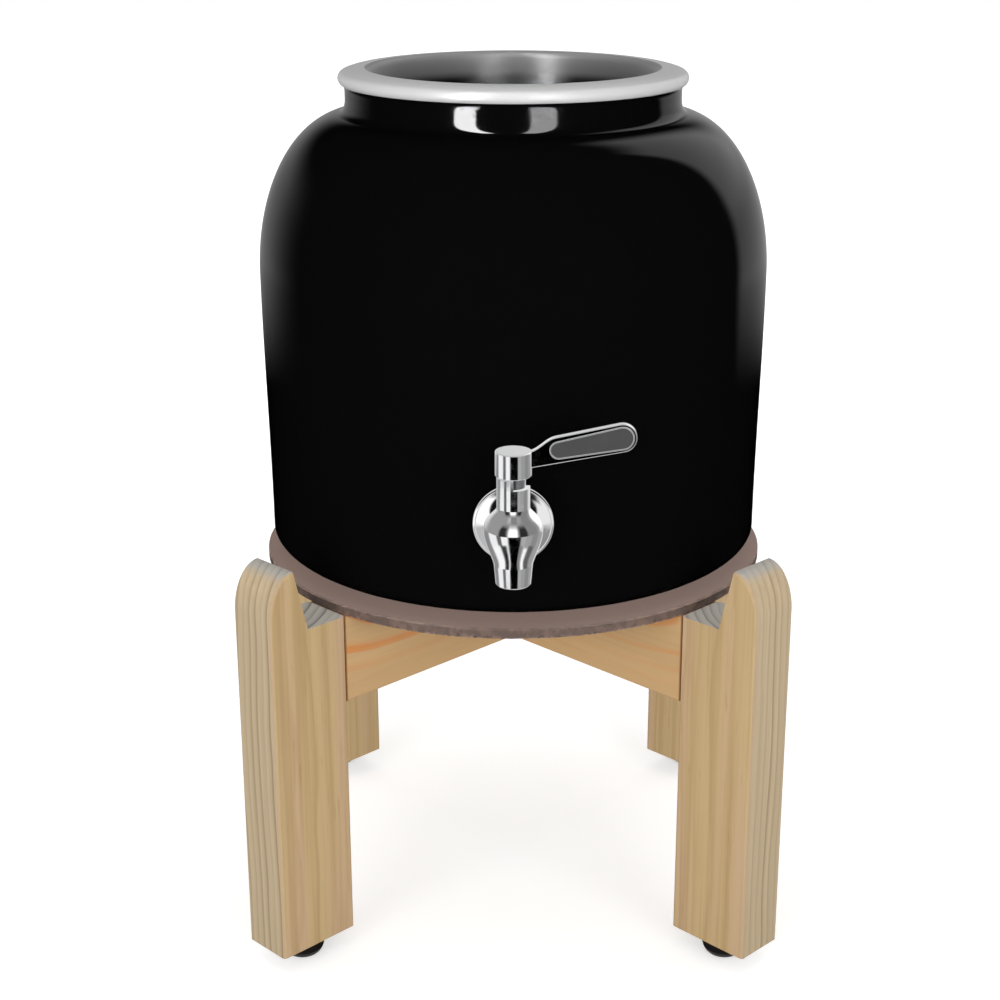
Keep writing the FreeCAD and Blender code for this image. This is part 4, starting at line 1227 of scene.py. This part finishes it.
def sheer_cloth(name, middle, base, patches):
    """Cloth that lets light through and glows in soft patches, painted one over another.

    Each patch is four azimuths and four heights in degrees seen from the middle, between which it rises, is
    full and fades, and its level.
    """
    material, tree = bare_material(name)
    azimuth, height = seen_angles(tree, middle)
    level = base
    for azimuths, heights, glow in patches:
        share = times(tree, window(tree, azimuth, *azimuths), window(tree, height, *heights))
        level = mix_levels(tree, share, level, glow)
    glow = add_node(tree, "ShaderNodeEmission", None, {"Strength": level})
    sheer = add_node(tree, "ShaderNodeBsdfTransparent")
    both = add_node(tree, "ShaderNodeAddShader", None, {0: glow.outputs[0], 1: sheer.outputs[0]})
    add_node(tree, "ShaderNodeOutputMaterial", None, {0: both.outputs[0]})
    return material


def own_number(face):
    """A number from the face's corners, which gives it the same place in the mesh at every run."""
    first, second, third = sorted(corner.index for corner in face.verts)[:3]
    return (first * MOST_CORNERS + second) * MOST_CORNERS + third


def wrap_tent(name, material, middle, spread, receivers):
    """Small tent round the tap, flat behind it just before the crock's wall, that only some pieces mirror.

    Spread sets it off from the tents inside it.
    """
    mesh = bpy.data.meshes.new(name)
    ball = bmesh.new()
    bmesh.ops.create_uvsphere(ball, u_segments=BALL_SEGMENTS, v_segments=BALL_RINGS,
                              radius=BALL_RADIUS + spread)
    for vertex in ball.verts:
        vertex.co += middle
        vertex.co.y = min(vertex.co.y, spread / 10 - CROCK_RADIUS - WALL_GAP)
    ball.verts.index_update()
    ball.faces.sort(key=own_number)
    ball.to_mesh(mesh)
    ball.free()
    mesh.materials.append(material)
    tent = place_in_scene(name, mesh)
    show_to_mirrors(tent)
    tent.light_linking.receiver_collection = collect(name + " receivers", receivers)


def light_tap():
    """Three small tents: for the tap's casting, for its lever and for its flange."""
    middle = Vector((TAP_AXIS.x, TAP_AXIS.y, INLET_LEVEL))
    around = (-95, -91, 91, 95)
    upright = (((-181, -180, -134, -128), around, 0.62), ((-132, -126, -108, -103), around, 0.30),
               ((-104, -98, -68, -64), around, 1.10), ((-65, -62, -50, -46), around, 0.16),
               ((-48, -44, -23, -19), around, 1.15), ((-20, -15, 25, 31), around, 0.0),
               ((28, 33, 46, 52), around, 0.50), ((72, 80, 100, 108), around, 0.32),
               ((124, 132, 180, 181), around, 0.80))
    everywhere, belly, low = (-182, -181, 181, 182), (-10, -7, 58, 72), (-95, -91, -40, -35)
    body = upright + (
        (everywhere, belly, 0.38), ((52, 66, 94, 106), belly, 0.28), ((104, 118, 181, 182), belly, 0.85),
        ((-182, -181, -134, -116), belly, 0.55), ((-62, -50, -32, -20), (-10, -7, 36, 60), 0.03),
        ((18, 28, 50, 62), (-10, -7, 40, 62), 0.03), ((-24, -15, 12, 20), (-10, -5, 28, 64), 1.45),
        (everywhere, (60, 72, 91, 95), 0.42),
        ((-104, -92, -62, -52), low, 1.20), ((-54, -46, -34, -22), low, 0.02), ((24, 29, 38, 44), low, 0.28),
        ((66, 74, 94, 102), low, 0.14), ((46, 50, 62, 70), (-95, -91, -46, -40), 1.20))
    lever = upright + ((everywhere, (22, 44, 91, 95), 0.66), (everywhere, (-95, -91, -34, -20), 0.85))
    upper, lower, crown = (-25, -19, 4, 9), (-95, -91, -26, -20), (7, 11, 44, 54)
    flange = (((-181, -180, -122, -114), around, 1.0), ((-112, -100, -2, 2), upper, 1.35),
              ((-2, 2, 100, 112), upper, 1.05), ((-112, -100, -2, 2), lower, 0.62),
              ((-100, -80, 80, 100), crown, 0.01), ((-16, -13, 20, 24), (-5, -2, 44, 54), 0.01),
              ((114, 122, 180, 181), around, 0.55))
    pieces = (("tap casting tent", 0.42, body, ("tap_body", "retaining_pin")),
              ("tap lever tent", 0.40, lever, ("lever_handle", "valve_stem", "inset_bead")),
              ("tap flange tent", 0.34, flange, ("tap_escutcheon",)))
    for order, (name, base, patches, names) in enumerate(pieces):
        cloth = sheer_cloth(name + " cloth", middle, base, patches)
        receivers = [bpy.data.objects.get(key) or NODES[key] for key in names]
        wrap_tent(name, cloth, middle, BALL_SPACING * order, receivers)


def light_rim():
    """Two tall strips that the crock's rim mirrors as upright bands."""
    rim = [bpy.data.objects["crock_rim"]]
    hang_strip("rim left strip", (-36.5, -23), 25.0, rim)
    hang_strip("rim right strip", (10.6, 26.8), 7.8, rim)


def place_camera(s):
    camera = place_in_scene("camera", bpy.data.cameras.new("camera"))
    camera.location = (0, -s.camera_distance, s.camera_height)
    camera.rotation_euler = (pi / 2 - s.camera_pitch, 0, 0)
    camera.data.sensor_width = SENSOR_WIDTH
    camera.data.lens = s.lens_length
    camera.data.shift_x = s.lens_shift
    bpy.context.scene.camera = camera


class SetStage(bpy.types.Operator):
    """Lay the floor, hang the lamps and place the camera"""

    bl_idname = "crock.set_stage"
    bl_label = "Set the stage"

    def execute(self, context):
        settings = context.scene.stage_settings
        context.scene.view_settings.view_transform = "Standard"
        lay_floor(settings)
        set_world(settings)
        pitch_tent(settings)
        light_object(settings)
        light_stand(settings)
        light_tap()
        light_rim()
        place_camera(settings)
        return {"FINISHED"}


# ---------------------------------------------------------------- add-on

class CrockPanel(bpy.types.Panel):
    """Lists the settings and the steps in order"""

    bl_idname = "VIEW3D_PT_water_crock"
    bl_label = "Water Crock"
    bl_space_type = "VIEW_3D"
    bl_region_type = "UI"
    bl_category = "Crock"

    def draw(self, context):
        for group in SETTINGS:
            box = self.layout.box()
            box.label(text=group.__doc__)
            for name in group.__annotations__:
                box.prop(getattr(context.scene, SETTINGS[group]), name)
        for step in STEPS:
            self.layout.operator(step.bl_idname)


SETTINGS = {
    CrockSettings: "crock_settings",
    TapSettings: "tap_settings",
    StandSettings: "stand_settings",
    StageSettings: "stage_settings",
}
STEPS = (TurnCrock, PlateTap, BeadInset, CutThread, FinishLegs, FinishBeams, FinishBoard, FinishGlides,
         SetStage)


def register():
    for group, name in SETTINGS.items():
        bpy.utils.register_class(group)
        setattr(bpy.types.Scene, name, PointerProperty(type=group))
    for step in STEPS:
        bpy.utils.register_class(step)
    bpy.utils.register_class(CrockPanel)


def unregister():
    bpy.utils.unregister_class(CrockPanel)
    for step in reversed(STEPS):
        bpy.utils.unregister_class(step)
    for group, name in SETTINGS.items():
        delattr(bpy.types.Scene, name)
        bpy.utils.unregister_class(group)


def main():
    register()
    bpy.ops.crock.turn_crock()
    bpy.ops.crock.plate_tap()
    bpy.ops.crock.bead_inset()
    bpy.ops.crock.cut_thread()
    bpy.ops.crock.finish_legs()
    bpy.ops.crock.finish_beams()
    bpy.ops.crock.finish_board()
    bpy.ops.crock.finish_glides()
    bpy.ops.crock.set_stage()


if __name__ == "__main__":
    main()
